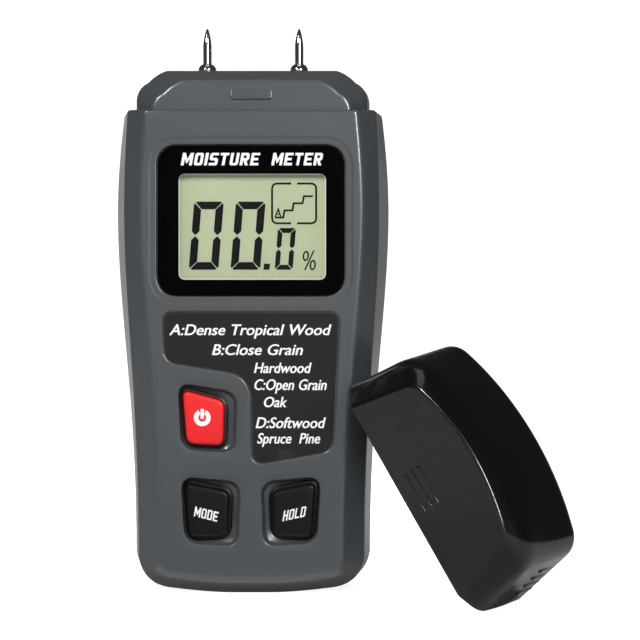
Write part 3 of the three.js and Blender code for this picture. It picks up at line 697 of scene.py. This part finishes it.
# ---- battery door ----
def battery_door():
    d = DOOR
    skin = Skin()
    inside, outside = skin.rings(skin.levels(
        box_corners(-d["half"], d["half"], d["pivot_z"], d["high"]), DOOR_CORNER, (
            (-0.12, 11.6), (0.0, 11.72), (0.0, 13.05), (-0.02, 13.2), (-0.1, 13.36),
            (-0.24, 13.47), (-0.42, 13.5), (-0.55, 13.5))))
    notch = skin.pocket(box_corners(-5, 5, 65.5, 68.5), 1.3, (
        (0.35, 13.5), (0.22, 13.5), (0.1, 13.47), (0.0, 13.38), (-0.06, 13.2),
        (-0.12, 12.95), (-0.3, 12.82), (-0.5, 12.8)))
    grips = []
    for row in range(3):
        z = 60.2 + 1.7 * row
        shape = box_corners(-4.5 + row * 0.9, 4.5 - row * 0.9, z, z + 0.8)
        grips.append(skin.pocket(shape, 0.38, (
            (0.14, 13.5), (0.05, 13.5), (0.0, 13.44), (-0.08, 13.34), (-0.2, 13.28))))
    skin.fill(outside, [notch, *grips])
    skin.fill(inside)
    for radius, half in ((d["edge"], d["half"]), (0.5, d["half"] + 1.1)):
        skin_rod_x(skin, radius, half, d["pivot_y"], d["pivot_z"])
    return skin


def skin_rod_x(skin, radius, half, y, z):
    """a round rod along X with chamfered ends"""
    chamfer = 0.12
    skin.capped([
        skin.ring([(x, y + r * math.cos(a), z + r * math.sin(a)) for a in turns(32)])
        for x, r in ((-half, radius - chamfer), (-half + chamfer, radius),
                     (half - chamfer, radius), (half, radius - chamfer))],
        (-half, y, z), (half, y, z))


piece("battery_cover", battery_door(), CASE, "battery_door", ["battery_door"])


# ---- keys ----
def key_cap(corners, fall):
    """rounded shoulders and a slightly pillowed top that falls away at its lower end"""
    skin = Skin()
    centre = np.mean(corners, axis=0)
    zs = [z for _, z in corners]
    low, high = min(zs), max(zs)

    def top(shape):
        across = (shape[:, 0] - centre[0]) / 5.0
        up = (shape[:, 1] - low) / (high - low)
        lower = np.clip((0.42 - up) / 0.42, 0, 1) ** 2
        upper = np.clip((up - 0.8) / 0.2, 0, 1) ** 2
        return KEY_TOP + 0.07 * across ** 2 + fall * lower + 0.1 * upper

    # flange behind the case, then the thin skirt that closes the gap round the key
    loops = skin.levels(corners, KEY_CORNER, (
        (0.9, -10.6), (0.9, -11.0), (0.0, -11.02), (0.0, -11.9), (0.7, -11.94),
        (0.7, -12.14), (0.64, -12.2), (0.0, -12.24)))
    for inset, sink in ((0.0, 1.4), (0.0, 0.8), (0.03, 0.55), (0.11, 0.35), (0.25, 0.18),
                        (0.44, 0.07), (0.68, 0.015), (0.95, 0.0)):
        shape = polygon(corners, KEY_CORNER, -inset)
        loops.append(skin.ring(at_depth(shape, top(shape) + sink)))
    for ring in between(shape, centre, 0.15, 0.3, 0.45, 0.6, 0.75, 0.9):
        loops.append(skin.ring(at_depth(ring, top(ring))))
    start, end = skin.rings(loops)
    skin.fan(end, (centre[0], top(np.array([centre]))[0], centre[1]))
    skin.fill(start)
    return skin


for key_name, (corners, _, material, slot) in KEYS.items():
    button = f"{key_name}_button"
    piece(f"{key_name}_key", key_cap(corners, 0.32 if key_name == "power" else 0.22), material,
          button, [button], sharp=60, weighted=False)


# ---- flat print: thin solids in the X-Z plane ----
def prism(skin, outline, front, back, holes=()):
    def layer(points, y):
        return skin.ring(at_depth(np.asarray(points, float), y))
    loops = [(layer(o, front), layer(o, back)) for o in (outline, *holes)]
    for a, b in loops:
        skin.band(a, b)
    for k in (0, 1):
        skin.fill(loops[0][k], [pair[k] for pair in loops[1:]], spacing=50)


def ribbon(skin, route, width):
    """an ink line of constant width through the points, with square ends"""
    p = np.array(route, float)
    along = np.diff(p, axis=0)
    along /= np.linalg.norm(along, axis=1)[:, None]
    side = np.stack([-along[:, 1], along[:, 0]], 1)
    shift = [side[0]]
    for a, b in zip(side, side[1:]):
        shift.append((a + b) / (1 + a @ b))
    shift.append(side[-1])
    shift = np.array(shift) * width / 2
    prism(skin, np.vstack([p - shift, (p + shift)[::-1]]), INK_FRONT, INK_BACK)


def slanted(points, x0):
    """a figure's points, leaning and set on the display's base line"""
    return [(x0 + x + FIGURE_LEAN * z, FIGURE_BASE + z) for x, z in points]


def seven_segment_zero(skin, x0, w, h, t):
    """an upright 0 of six segments: left edge, width, height and stroke"""
    gap = 0.12
    cut = t * 0.32
    half = h / 2
    lower = [(0, cut + gap), (cut * 0.5, cut * 0.5 + gap), (t, t + gap), (t, half - gap - t * 0.5),
             (t / 2, half - gap), (0, half - gap - t * 0.5)]
    bottom = [(cut * 0.5 + gap, cut * 0.35), (cut + gap, 0), (w - cut - gap, 0),
              (w - cut * 0.5 - gap, cut * 0.35), (w - t - gap * 0.6, t), (t + gap * 0.6, t)]
    for shape, across, up in ((lower, False, False), (lower, False, True), (lower, True, False),
                              (lower, True, True), (bottom, False, False), (bottom, False, True)):
        flipped = [(w - x if across else x, h - z if up else z) for x, z in shape]
        prism(skin, slanted(flipped if across == up else flipped[::-1], x0), INK_FRONT, INK_BACK)


def ring_band(skin, outer, inner, front, back):
    a, b = (skin.ring(at_depth(outer, y)) for y in (front, back))
    c, d = (skin.ring(at_depth(inner, y)) for y in (front, back))
    skin.rings([a, b, d, c, a])
    return skin


def leaning_ellipse(x, z, half_x, half_z):
    a = turns(32)
    dx, dz = half_x * np.cos(a), half_z * np.sin(a)
    return np.stack([x + dx + FIGURE_LEAN * dz, z + dz], 1)


# ---- display ----
LCD_FRONT = -11.1
INK_FRONT = -11.14
INK_BACK = LCD_FRONT - 0.005
FIGURE_LEAN = 0.081
FIGURE_BASE = 75.4


def lcd_figures():
    skin = Skin()
    for zero in ((-14.56, 6.9, 15.85, 1.78), (-4.84, 6.9, 15.85, 1.78), (5.43, 4.2, 9.7, 1.14)):
        seven_segment_zero(skin, *zero)
    prism(skin, slanted(box_corners(0, 1.4, 0, 1.4), 2.85), INK_FRONT, INK_BACK)
    # percent sign
    for x, z in ((12.7, 78.6), (14.3, 76.5)):
        ring_band(skin, leaning_ellipse(x, z, 0.74, 1.22), leaning_ellipse(x, z, 0.36, 0.82),
                  INK_FRONT, INK_BACK)
    ribbon(skin, [(12.45, 75.3), (14.6, 79.9)], 0.34)
    # icon: a square in two halves with a stepped line and a letter
    x0, x1, z0, z1, r = 4.85, 15.1, 86.2, 95.45, 1.3
    for side in (-1, 1):
        edge, end = (x0, 9.3) if side < 0 else (x1, 10.65)
        inward = -side * r
        ribbon(skin, np.vstack([
            (end, z0), (edge + inward, z0),
            bezier([(edge + inward, z0), (edge, z0), (edge, z0 + r)], 6), (edge, z1 - r),
            bezier([(edge, z1 - r), (edge, z1), (edge + inward, z1)], 6), (end, z1)]), 0.46)
    ribbon(skin, [(5.5, 87.55), (7.45, 87.55), (7.75, 89.2), (9.6, 89.2), (9.85, 90.85),
                  (11.95, 90.85), (12.25, 92.5), (14.35, 92.5)], 0.44)
    ribbon(skin, [(5.6, 87.75), (6.3, 89.5), (6.85, 87.75)], 0.32)
    ribbon(skin, [(5.85, 88.3), (6.7, 88.3)], 0.26)
    return skin


# the black border printed on the back of the window, open over the display
piece("window_border", ring_band(Skin(), polygon(WINDOW, WINDOW_CORNER, -0.05),
                                 polygon(APERTURE, 1.5), -12.42, -12.34),
      WINDOW_PRINT, "meter", ["display_window"])
piece("window_pane", Skin().slab(WINDOW, WINDOW_CORNER, (
    (-0.1, -12.3), (0.0, -12.4), (0.0, -13.12), (-0.05, -13.22), (-0.15, -13.28),
    (-0.3, -13.3), (-0.5, -13.3)), 6, 6), PANE, "meter", ["display_window"])
piece("lcd_plate", Skin().slab(box_corners(-18.8, 18.8, 69.5, 101.2), 0.6, (
    (-0.15, -9.1), (0, -9.25), (0, -10.95), (-0.15, LCD_FRONT))),
      LCD, "meter", ["lcd_panel"])
piece("lcd_rim", ring_band(Skin(), polygon(APERTURE, 1.5, 0.3), polygon(APERTURE, 1.3, -0.28),
                           -11.9, -11.8), LCD_RIM, "meter")
piece("lcd_figures", lcd_figures(), LCD_INK, "meter", weighted=False)


# ---- lettering: generic words only ----
LABEL_PRINT = -13.43
CAPITAL_HEIGHT = 0.70  # of a capital at size 1
BOLD = 0.07  # how far apart the copies of each word lie that thicken its strokes
CORNER_CUT = 0.13
LETTER_GAP = 0.17


def lettering(name, lines):
    """lines of (words, x from, x to, z middle, letter height), joined into one mesh"""
    meshes = []
    for words, x0, x1, z, height in lines:
        curve = bpy.data.curves.new(name, "FONT")
        curve.body = words
        curve.align_x = curve.align_y = "CENTER"
        curve.shear = 0.24
        curve.resolution_u = 4
        curve.space_word = 1.1
        holder = linked(name, curve)
        mesh = evaluated_mesh(holder)
        bpy.data.objects.remove(holder)
        xs = [v.co.x for v in mesh.vertices]
        mesh.transform(Matrix.Translation((-(min(xs) + max(xs)) / 2, 0, 0)))
        mesh.transform(Matrix.Diagonal(((x1 - x0) / (max(xs) - min(xs)), height / CAPITAL_HEIGHT,
                                        1, 1)))
        upright = Matrix.Rotation(math.radians(90), 4, "X")
        for k, (dx, dz) in enumerate(((0, 0), (BOLD, 0), (-BOLD, 0), (0, BOLD / 2),
                                      (0, -BOLD / 2))):
            copy = mesh.copy()
            place = Matrix.Translation(((x0 + x1) / 2 + dx, LABEL_PRINT + 0.002 * k, z + dz))
            copy.transform(place @ upright)
            meshes.append(copy)
    bm = bmesh.new()
    for mesh in meshes:
        bm.from_mesh(mesh)
    bmesh.ops.remove_doubles(bm, verts=bm.verts, dist=1e-4)
    grown = bmesh.ops.extrude_face_region(bm, geom=list(bm.faces))
    moved = [g for g in grown["geom"] if isinstance(g, bmesh.types.BMVert)]
    bmesh.ops.translate(bm, verts=moved, vec=(0, 0.02, 0))
    bmesh.ops.recalc_face_normals(bm, faces=bm.faces)
    bmesh.ops.scale(bm, verts=bm.verts, vec=(MM, MM, MM))
    result = bpy.data.meshes.new(name)
    bm.to_mesh(result)
    bm.free()
    piece(name, result, PRINT_WHITE, "meter", weighted=False)


def glyph(letter, tv, th, c):
    """squared capital on a unit height: width, outline and hole, from the widths of its
    upright and level strokes and its corner cut"""
    w, m, wide, waist = 0.8, 0.5, 1.04, 0.38
    low, high = m - th / 2, m + th / 2
    left = 0.02 if letter == "D" else c
    hole = [(tv, th), (w - tv, th), (w - tv, 1 - th), (tv, 1 - th)]
    shapes = {
        "I": (tv, box_corners(0, tv, 0, 1), []),
        "M": (wide, [(0, 0), (tv, 0), (tv, 0.56), (wide / 2, 0.12), (wide - tv, 0.56),
                     (wide - tv, 0), (wide, 0), (wide, 1), (wide - tv, 1), (wide / 2, 0.5),
                     (tv, 1), (0, 1)], []),
        "T": (w, [(w / 2 - tv / 2, 0), (w / 2 + tv / 2, 0), (w / 2 + tv / 2, 1 - th),
                  (w, 1 - th), (w, 1), (0, 1), (0, 1 - th), (w / 2 - tv / 2, 1 - th)], []),
        "U": (w, [(c, 0), (w - c, 0), (w, c), (w, 1), (w - tv, 1), (w - tv, th), (tv, th),
                  (tv, 1), (0, 1), (0, c)], []),
        "L": (w - 0.06, [(0, 0), (w - 0.06, 0), (w - 0.06, th), (tv, th), (tv, 1), (0, 1)], []),
        "H": (w, [(0, 0), (tv, 0), (tv, low), (w - tv, low), (w - tv, 0), (w, 0), (w, 1),
                  (w - tv, 1), (w - tv, high), (tv, high), (tv, 1), (0, 1)], []),
        "E": (w, [(0, 0), (w, 0), (w, th), (tv, th), (tv, low), (w * 0.86, low),
                  (w * 0.86, high), (tv, high), (tv, 1 - th), (w, 1 - th), (w, 1), (0, 1)], []),
        "S": (w, [(0, 0), (w - c, 0), (w, c), (w, high - c), (w - c, high), (tv, high),
                  (tv, 1 - th), (w, 1 - th), (w, 1), (c, 1), (0, 1 - c), (0, low + c), (c, low),
                  (w - tv, low), (w - tv, th), (0, th)], []),
        "R": (w, [(0, 0), (tv, 0), (tv, waist), (w * 0.4, waist), (w - tv * 1.1, 0), (w, 0),
                  (w * 0.72, waist), (w - c, waist), (w, waist + c), (w, 1 - c), (w - c, 1),
                  (0, 1)], [(tv, waist + th), (w - tv, waist + th), (w - tv, 1 - th),
                            (tv, 1 - th)]),
    }
    round_letter = [(left, 0), (w - c, 0), (w, c), (w, 1 - c), (w - c, 1), (left, 1),
                    (0, 1 - left), (0, left)]
    return shapes.get(letter, (w, round_letter, hole))


def capitals(name, words, depth, body, stroke=(0.27, 0.2), lean=0.22, turn=0.0):
    """words of (text, x from, x to, z middle, height) in squared slanted capitals"""
    skin = Skin()
    for text, x0, x1, z, height in words:
        shapes = []
        pen = 0.0
        for letter in text:
            advance, outline, hole = glyph(letter, *stroke, CORNER_CUT)
            shapes.append((pen, outline, hole))
            pen += advance + LETTER_GAP
        span = pen - LETTER_GAP + lean
        middle = (x0 + x1) / 2

        def placed(points, start):
            result = []
            for px, pz in points:
                dx = ((start + px + lean * pz) / span - 0.5) * (x1 - x0)
                dz = (pz - 0.5) * height
                result.append((middle + dx, z + dz + math.tan(turn) * dx))
            return result
        for start, outline, hole in shapes:
            prism(skin, placed(outline, start), depth, depth + 0.1,
                  [placed(hole, start)] if hole else [])
    piece(name, skin, PRINT_WHITE, body, weighted=False)


capitals("window_title", [("MOISTURE", -16.3, 2.2, 101.0, 2.9), ("METER", 4.7, 16.8, 101.0, 2.9)],
         -12.46, "meter")
lettering("label_words", [
    ("A:Dense Tropical Wood", -18.8, 18.6, 61.3, 2.5),
    ("B:Close Grain", -8.9, 12.0, 56.7, 2.5),
    ("Hardwood", 0.8, 14.0, 52.5, 2.4),
    ("C:Open Grain", 0.9, 17.5, 48.6, 2.5),
    ("Oak", 3.1, 8.3, 44.6, 2.4),
    ("D:Softwood", 1.2, 17.3, 39.8, 2.5),
    ("Spruce  Pine", 1.5, 16.0, 36.2, 2.4),
])


def power_symbol():
    skin = Skin()
    x, z, y = -11.17, 41.15, KEY_TOP - 0.05
    angles = np.radians(np.linspace(118, 422, 49))
    for a, b in zip(angles, angles[1:]):
        quad = [(x + r * math.cos(t), z + r * math.sin(t))
                for r, t in ((0.92, a), (1.95, a), (1.95, b), (0.92, b))]
        front = skin.ring(at_depth(np.array(quad), y))
        back = skin.ring(at_depth(np.array(quad), y + 0.12))
        skin.band(front, back)
        skin.faces += [tuple(front), tuple(back)]
    bar = polygon(box_corners(x - 0.4, x + 0.4, z - 0.3, z + 2.05), 0.2, corner_steps=4,
                  edge_steps=3)
    prism(skin, bar, y, y + 0.12)
    return skin


piece("power_symbol", power_symbol(), PRINT_WHITE, "power_button", weighted=False)
WORD_FRONT = KEY_TOP - 0.08
capitals("mode_word", [("MODE", -13.15, -7.35, 18.9, 2.35)], WORD_FRONT, "mode_button",
         (0.24, 0.16), 0.3, math.radians(-14))
capitals("hold_word", [("HOLD", 7.3, 12.9, 19.0, 2.35)], WORD_FRONT, "hold_button",
         (0.24, 0.16), 0.3, math.radians(12))


piece("label_plate", Skin().slab(LABEL, LABEL_RADII, (
    (-0.2, -13.1), (-0.2, -13.34), (-0.26, -13.39), (-0.36, -13.4)), back=5),
      LABEL_FILM, "meter", ["species_label"])


# ---- pins, collars and screws ----
def lathe(profile, axis="Z"):
    """profile of (radius, height); height runs along the axis"""
    def turned(x, across, h):
        return (x, across, h) if axis == "Z" else (x, h, across)

    skin = Skin()
    skin.capped([skin.ring([turned(r * math.cos(a), r * math.sin(a), h) for a in turns(48)])
                 for r, h in profile], turned(0, 0, profile[0][1]), turned(0, 0, profile[-1][1]))
    return skin


PIN_X = 11
PIN_TIP = 133.46
PIN_RADIUS = 1.02
POINT_LENGTH = 4.6
POINT_BLUNT = 0.2


def needle_profile():
    point = []
    for t in np.linspace(0, 1, 15):
        r = PIN_RADIUS * (1 - t ** 1.9) + POINT_BLUNT * t ** 1.9
        point.append((r, PIN_TIP - POINT_LENGTH + POINT_LENGTH * t))
    return [(0.9, 113.5), (PIN_RADIUS, 113.7), *point, (POINT_BLUNT * 0.5, PIN_TIP)]


def collar_profile():
    low = HEAD_TOP + 0.17
    return [(r, low + rise) for r, rise in (
        (1.35, 0), (2.05, 0), (2.15, 0.1), (2.15, 0.83), (2.1, 1.08), (1.98, 1.41),
        (1.8, 1.69), (1.6, 1.91), (1.42, 2.05), (1.2, 2.13), (1.12, 2.13))]


for side_name, x in (("left", -PIN_X), ("right", PIN_X)):
    shift = Matrix.Translation((x * MM, 0, 0))
    for part, node, profile in (("needle", "pin", needle_profile()),
                                ("collar", "pin_collar", collar_profile())):
        piece(f"{side_name}_{part}", lathe(profile), NICKEL, "meter", [f"{side_name}_{node}"],
              shift, sharp=50)


def screw_mesh():
    head = lathe([(1.2, 0), (2.3, 0), (2.45, 0.1), (2.5, 0.25), (2.5, 0.75), (2.42, 1.1),
                  (2.2, 1.42), (1.8, 1.68), (1.3, 1.83), (0.7, 1.89), (0.2, 1.9)], "Y")
    cross = Skin()
    for long_x in (True, False):
        loops = []
        for y, arm, width in ((0.85, 1.05, 0.42), (2.2, 1.75, 0.62)):
            a, w = (arm, width / 2) if long_x else (width / 2, arm)
            loops.append(cross.ring(at_depth(np.array([(-a, -w), (a, -w), (a, w), (-a, w)]), y)))
        cross.faces += map(tuple, cross.rings(loops))
    return difference(head.mesh("screw_head", 40), cross.mesh("cross"), 35)


SCREW = screw_mesh()
for place, (x, z) in CASE_SCREWS.items():
    turn = Matrix.Rotation(math.radians(17 + 31 * len(place)), 4, "Y")
    spot = Matrix.Translation((x * MM, (SCREW_SEAT + 0.15) * MM, z * MM))
    piece(f"screw_{place}", SCREW.copy(), STEEL, "meter", [f"case_screw_{place}"],
          spot @ turn, weighted=False)


# ---- pin cap, in its own frame: mouth at z = 0, crown up ----
CAP_FACE = dict(half=24.0, taper=0.25, crown=20.95, radius=54, corner=4.7)
CAP_FRONT_BAND = dict(half=29.15, taper=0.165, crown=22.6, radius=75, corner=9.0)
CAP_MIDDLE = dict(half=29.88, taper=0.185, crown=23.75, radius=66, corner=6.2)
CAP_REAR_BAND = dict(half=30.1, taper=0.16, crown=24.4, radius=75, corner=5.4)
CAP_WALL = 1.5
CAP_INNER_DEPTH = 11.8
CAP_INNER_FACE = dict(half=23.7, taper=0.12, crown=18.6, radius=54, corner=4.7)
CAP_SPOT = (42.1, -18.95, 24.97)
CAP_TURNS = (6.7, 56.7, -29.3)
MOUTH_STEPS = 24
CAP_SOFT = 3.0
CAP_REAR_SOFT = 1.6
END_STEPS = 6


def cap_outline(ring, inset=0.0):
    """up the right end, over the crown, down the left end, then back along the mouth"""
    taper, radius = ring["taper"], ring["radius"]
    half, crown = ring["half"] - inset, ring["crown"] - inset
    corner = max(ring["corner"] - inset, 1.0)
    centre = crown - radius
    lean = math.hypot(1, taper)
    corner_x, corner_z = 0.0, crown - corner - 4
    for _ in range(60):
        corner_x = half - taper * corner_z - corner * lean
        corner_z = centre + math.sqrt((radius - corner) ** 2 - corner_x ** 2)
    start, end = math.atan(taper), math.atan2(corner_z - centre, corner_x)
    turn = np.linspace(start, end, 13)
    bend = np.stack([corner_x + corner * np.cos(turn), corner_z + corner * np.sin(turn)], 1)
    foot = np.array([half, 0.0])
    rise = np.vstack([foot, bezier([foot, bend[0]], END_STEPS)[:-1]])
    arc = np.linspace(end, math.pi / 2, 17)[1:]
    over = np.stack([radius * np.cos(arc), centre + radius * np.sin(arc)], 1)
    right = np.vstack([rise, bend, over])
    left = right[:-1][::-1] * np.array([-1, 1])
    mouth = bezier([(-half, 0.0), (half, 0.0)], MOUTH_STEPS)[:-1]
    return np.vstack([right, left, mouth])


def cap_shell():
    skin = Skin()
    front, front_band, middle, rear_band, back = (
        at_depth(cap_outline(ring), y) for ring, y in (
            (CAP_FACE, -HALF_DEPTH), (CAP_FRONT_BAND, -BAND), (CAP_MIDDLE, 0.0),
            (CAP_REAR_BAND, BAND), (CAP_FACE, HALF_DEPTH)))
    face = cap_outline(CAP_FACE)
    inward = normals(face)
    open_columns = len(face) - MOUTH_STEPS + 1
    inward[open_columns:] = 0
    inward[0, 1] = inward[open_columns - 1, 1] = 0
    inset = face - inward * 2.0
    front_flat, back_flat = at_depth(inset, -HALF_DEPTH), at_depth(inset, HALF_DEPTH)
    rows = [
        *between(front_flat, front, 0.45),
        *rounded_edge(front_flat, front, front_band, 0.6, 8),
        *between(front, front_band, 0.2, 0.35),
        *rounded_edge(front, front_band, middle, CAP_SOFT, 10),
        *between(front_band, middle, 0.5),
        *rounded_edge(front_band, middle, rear_band, CAP_SOFT, 6),
        *between(middle, rear_band, 0.5),
        *rounded_edge(middle, rear_band, back, CAP_REAR_SOFT, 10),
        *between(rear_band, back, 0.65, 0.8),
        *rounded_edge(rear_band, back, back_flat, 0.6, 8),
        *between(back_flat, back, 0.45),
    ]
    outer = [skin.ring(row) for row in rows]
    mouth = set(range(open_columns - 1, len(face)))
    for end in skin.rings(outer, mouth):
        skin.fill(end, spacing=2)
    keys = [at_depth(cap_outline(ring, wall), y) for ring, wall, y in (
        (CAP_INNER_FACE, 0, -CAP_INNER_DEPTH), (CAP_FRONT_BAND, CAP_WALL, -BAND + 0.4),
        (CAP_MIDDLE, CAP_WALL, 0.0), (CAP_REAR_BAND, CAP_WALL, BAND - 0.4),
        (CAP_INNER_FACE, 0, CAP_INNER_DEPTH))]
    inner = []
    for spot in np.linspace(0, len(keys) - 1, len(rows)):
        k = min(int(spot), len(keys) - 2)
        inner.append(skin.ring(keys[k] + (keys[k + 1] - keys[k]) * (spot - k)))
    for end in skin.rings(inner, mouth):
        skin.fill(end, spacing=4)

    def lip(rows):
        right = [row[0] for row in rows]
        left = [row[open_columns - 1] for row in rows]
        first = [rows[0][i] for i in range(open_columns, len(face))]
        last = [rows[-1][i] for i in range(open_columns, len(face))]
        return [left[0], *first, *right, *last[::-1], *left[:0:-1]]
    skin.band(lip(outer), lip(inner))
    for side in (-1, 1):
        for z in (4.2 + 2.6 * i for i in range(4)):
            x = CAP_MIDDLE["half"] - CAP_MIDDLE["taper"] * z - 0.1
            rib(skin, side * x, z)
    for z in (3.4, 5.4, 7.4):
        bar(skin, z)
    return skin


def rib(skin, x, z):
    """a grip rib, round-ended, half sunk in the cap's end wall"""
    radius, front, back = 0.6, 1.2, 8.4
    nose = ((0, 0.4), (0.1, 0.65), (0.3, 0.9), (0.6, 1.0))
    spots = [(front + depth, r) for depth, r in nose]
    spots += [(back - depth, r) for depth, r in reversed(nose)]
    skin.capped([skin.ring(at_depth(circle(x, z, radius * r, 20), y)) for y, r in spots],
                (x, front, z), (x, back, z))


def bar(skin, z):
    """a low bar across the cap's face"""
    for end in skin.rings(skin.levels(box_corners(-4.4, 5.2, z - 0.28, z + 0.28), 0.25, (
            (0, -13.3), (0, -13.62), (-0.04, -13.7), (-0.1, -13.76), (-0.18, -13.79)))):
        skin.fill(end)


roll, lean, yaw = (math.radians(a) for a in CAP_TURNS)
CAP_PLACE = (Matrix.Translation(Vector(CAP_SPOT) * MM) @ Matrix.Rotation(yaw, 4, "Z")
             @ Matrix.Rotation(lean, 4, "Y") @ Matrix.Rotation(roll, 4, "X"))
piece("pin_cap", cap_shell(), CAP, "protective_cap", ["protective_cap"],
      CAP_PLACE)

# ---- inner pieces keep their CAD meshes ----
INNER = {
    FRAME_PLASTIC: ["lcd_frame", "power_plunger", "mode_plunger", "hold_plunger"],
    ZEBRA: ["zebra_strip"], BOARD: ["circuit_board"],
    CHIP: ["controller_chip", "power_switch", "mode_switch", "hold_switch", "battery_snap"],
    BRASS: ["left_pin_socket", "right_pin_socket"], CAN: ["battery"],
    RED_WIRE: ["left_pin_lead", "battery_lead_positive"],
    BLACK_WIRE: ["right_pin_lead", "battery_lead_negative"],
    STEEL: [f"board_screw_{place}" for place in CASE_SCREWS],
}
for material, names in INNER.items():
    for name in names:
        thing = NODES[name]
        thing.data.materials.clear()
        thing.data.materials.append(material)


# ---- floor, backdrop and lights ----
def studio():
    m = Nodes("studio_paper")
    m.link(m.mix(m.noise(4, 2), (0.44, 0.44, 0.44, 1), (0.46, 0.46, 0.46, 1)), "Base Color")
    m.set(Roughness=0.8, Specular_IOR_Level=0.1, Emission_Color=(1, 1, 1, 1))
    seen = m.add("LightPath").outputs["Is Camera Ray"]
    m.link(m.ranged(seen, 0, 1, 0.0, PAPER_GLOW), "Emission Strength")
    skin = Skin()
    profile = [(-3000, 0), (1000, 0), (1100, 10), (1180, 50), (1230, 120), (1250, 220),
               (1255, 600)]
    rows = [skin.ring([(x, y, z) for x in (-3500, 3500)]) for y, z in profile]
    for a, b in zip(rows, rows[1:]):
        skin.faces.append((a[0], a[1], b[1], b[0]))
    mesh = skin.mesh("paper", 60)
    mesh.materials.append(m.material)
    linked("paper", mesh)


def area_light(name, width, height, power, seen_by, location, rotation):
    """seen_by "diffuse" fills without a reflection, "glossy" is a reflection only"""
    data = bpy.data.lights.new(name, "AREA")
    data.shape = "RECTANGLE"
    data.size, data.size_y = width, height
    data.energy = power
    thing = linked(name, data)
    thing.location = location
    thing.rotation_euler = rotation
    thing.visible_camera = False
    thing.visible_glossy = seen_by != "diffuse"
    thing.visible_diffuse = seen_by != "glossy"


def softbox(name, azimuth, elevation, distance, width, height, power, seen_by="diffuse"):
    """azimuth 0 is straight in front (-Y), positive to the right; aimed at the object"""
    a, e = math.radians(azimuth), math.radians(elevation)
    away = Vector((math.sin(a) * math.cos(e), -math.cos(a) * math.cos(e), math.sin(e)))
    area_light(name, width, height, power, seen_by, Vector(LIGHT_AIM) + away * distance,
               (-away).to_track_quat("-Z", "Y").to_euler())


def panel(name, azimuth, elevation, distance, width, height, radiance):
    """a soft white panel that only shows in reflections"""
    softbox(name, azimuth, elevation, distance, width, height,
            radiance * math.pi * width * height, "glossy")


def floor_panel(name, x, y, width, depth, radiance):
    """the bright floor in front of the object, as reflections see it"""
    area_light(name, width, depth, radiance * math.pi * width * depth, "glossy", (x, y, MM),
               (math.pi, 0, 0))


LIGHT_AIM = (0.01, 0, 0.07)
PAPER_GLOW = 0.92
WORLD_FILL = 0.05
studio()
# name, azimuth, elevation, distance, width, height, power
for light in (
        ("key", -4, 42, 1.0, 0.5, 0.5, 11.0),
        ("wing_left", -65, 12, 1.0, 0.4, 0.5, 2.0),
        ("wing_right", 65, 12, 1.0, 0.4, 0.5, 1.4),
        ("rear_key", 172, 34, 1.0, 0.5, 0.5, 10.0),
        ("rear_wing", -140, 12, 1.0, 0.4, 0.5, 3.0)):
    softbox(*light)
# name, azimuth, elevation, distance, width, height, radiance
for light in (
        ("front", 0, 7, 1.0, 0.5, 0.45, 1.0),
        ("right_strip", 26, 19, 1.0, 0.06, 0.4, 110.0),
        ("left_strip", -32, 31, 1.0, 0.1, 0.17, 80.0),
        ("above", 0, 84, 1.1, 0.5, 0.5, 1.0),
        ("side_left", -93, 0, 1.0, 0.4, 0.4, 0.15),
        ("back_left", -148, 3, 1.0, 0.9, 0.35, 0.45),
        ("back_right", 152, 0, 1.0, 0.6, 0.3, 0.25)):
    panel(*light)
floor_panel("floor_glow", -0.003, -0.02, 0.056, 0.016, 1.0)
world = bpy.data.worlds.new("studio")
world.use_nodes = True
tree = world.node_tree
background = tree.nodes["Background"]
background.inputs["Color"].default_value = (1, 1, 1, 1)
path = tree.nodes.new("ShaderNodeLightPath")
level = tree.nodes.new("ShaderNodeMapRange")
level.inputs["To Min"].default_value = WORLD_FILL
level.inputs["To Max"].default_value = 1.0
tree.links.new(path.outputs["Is Camera Ray"], level.inputs["Value"])
tree.links.new(level.outputs["Result"], background.inputs["Strength"])
bpy.context.scene.world = world
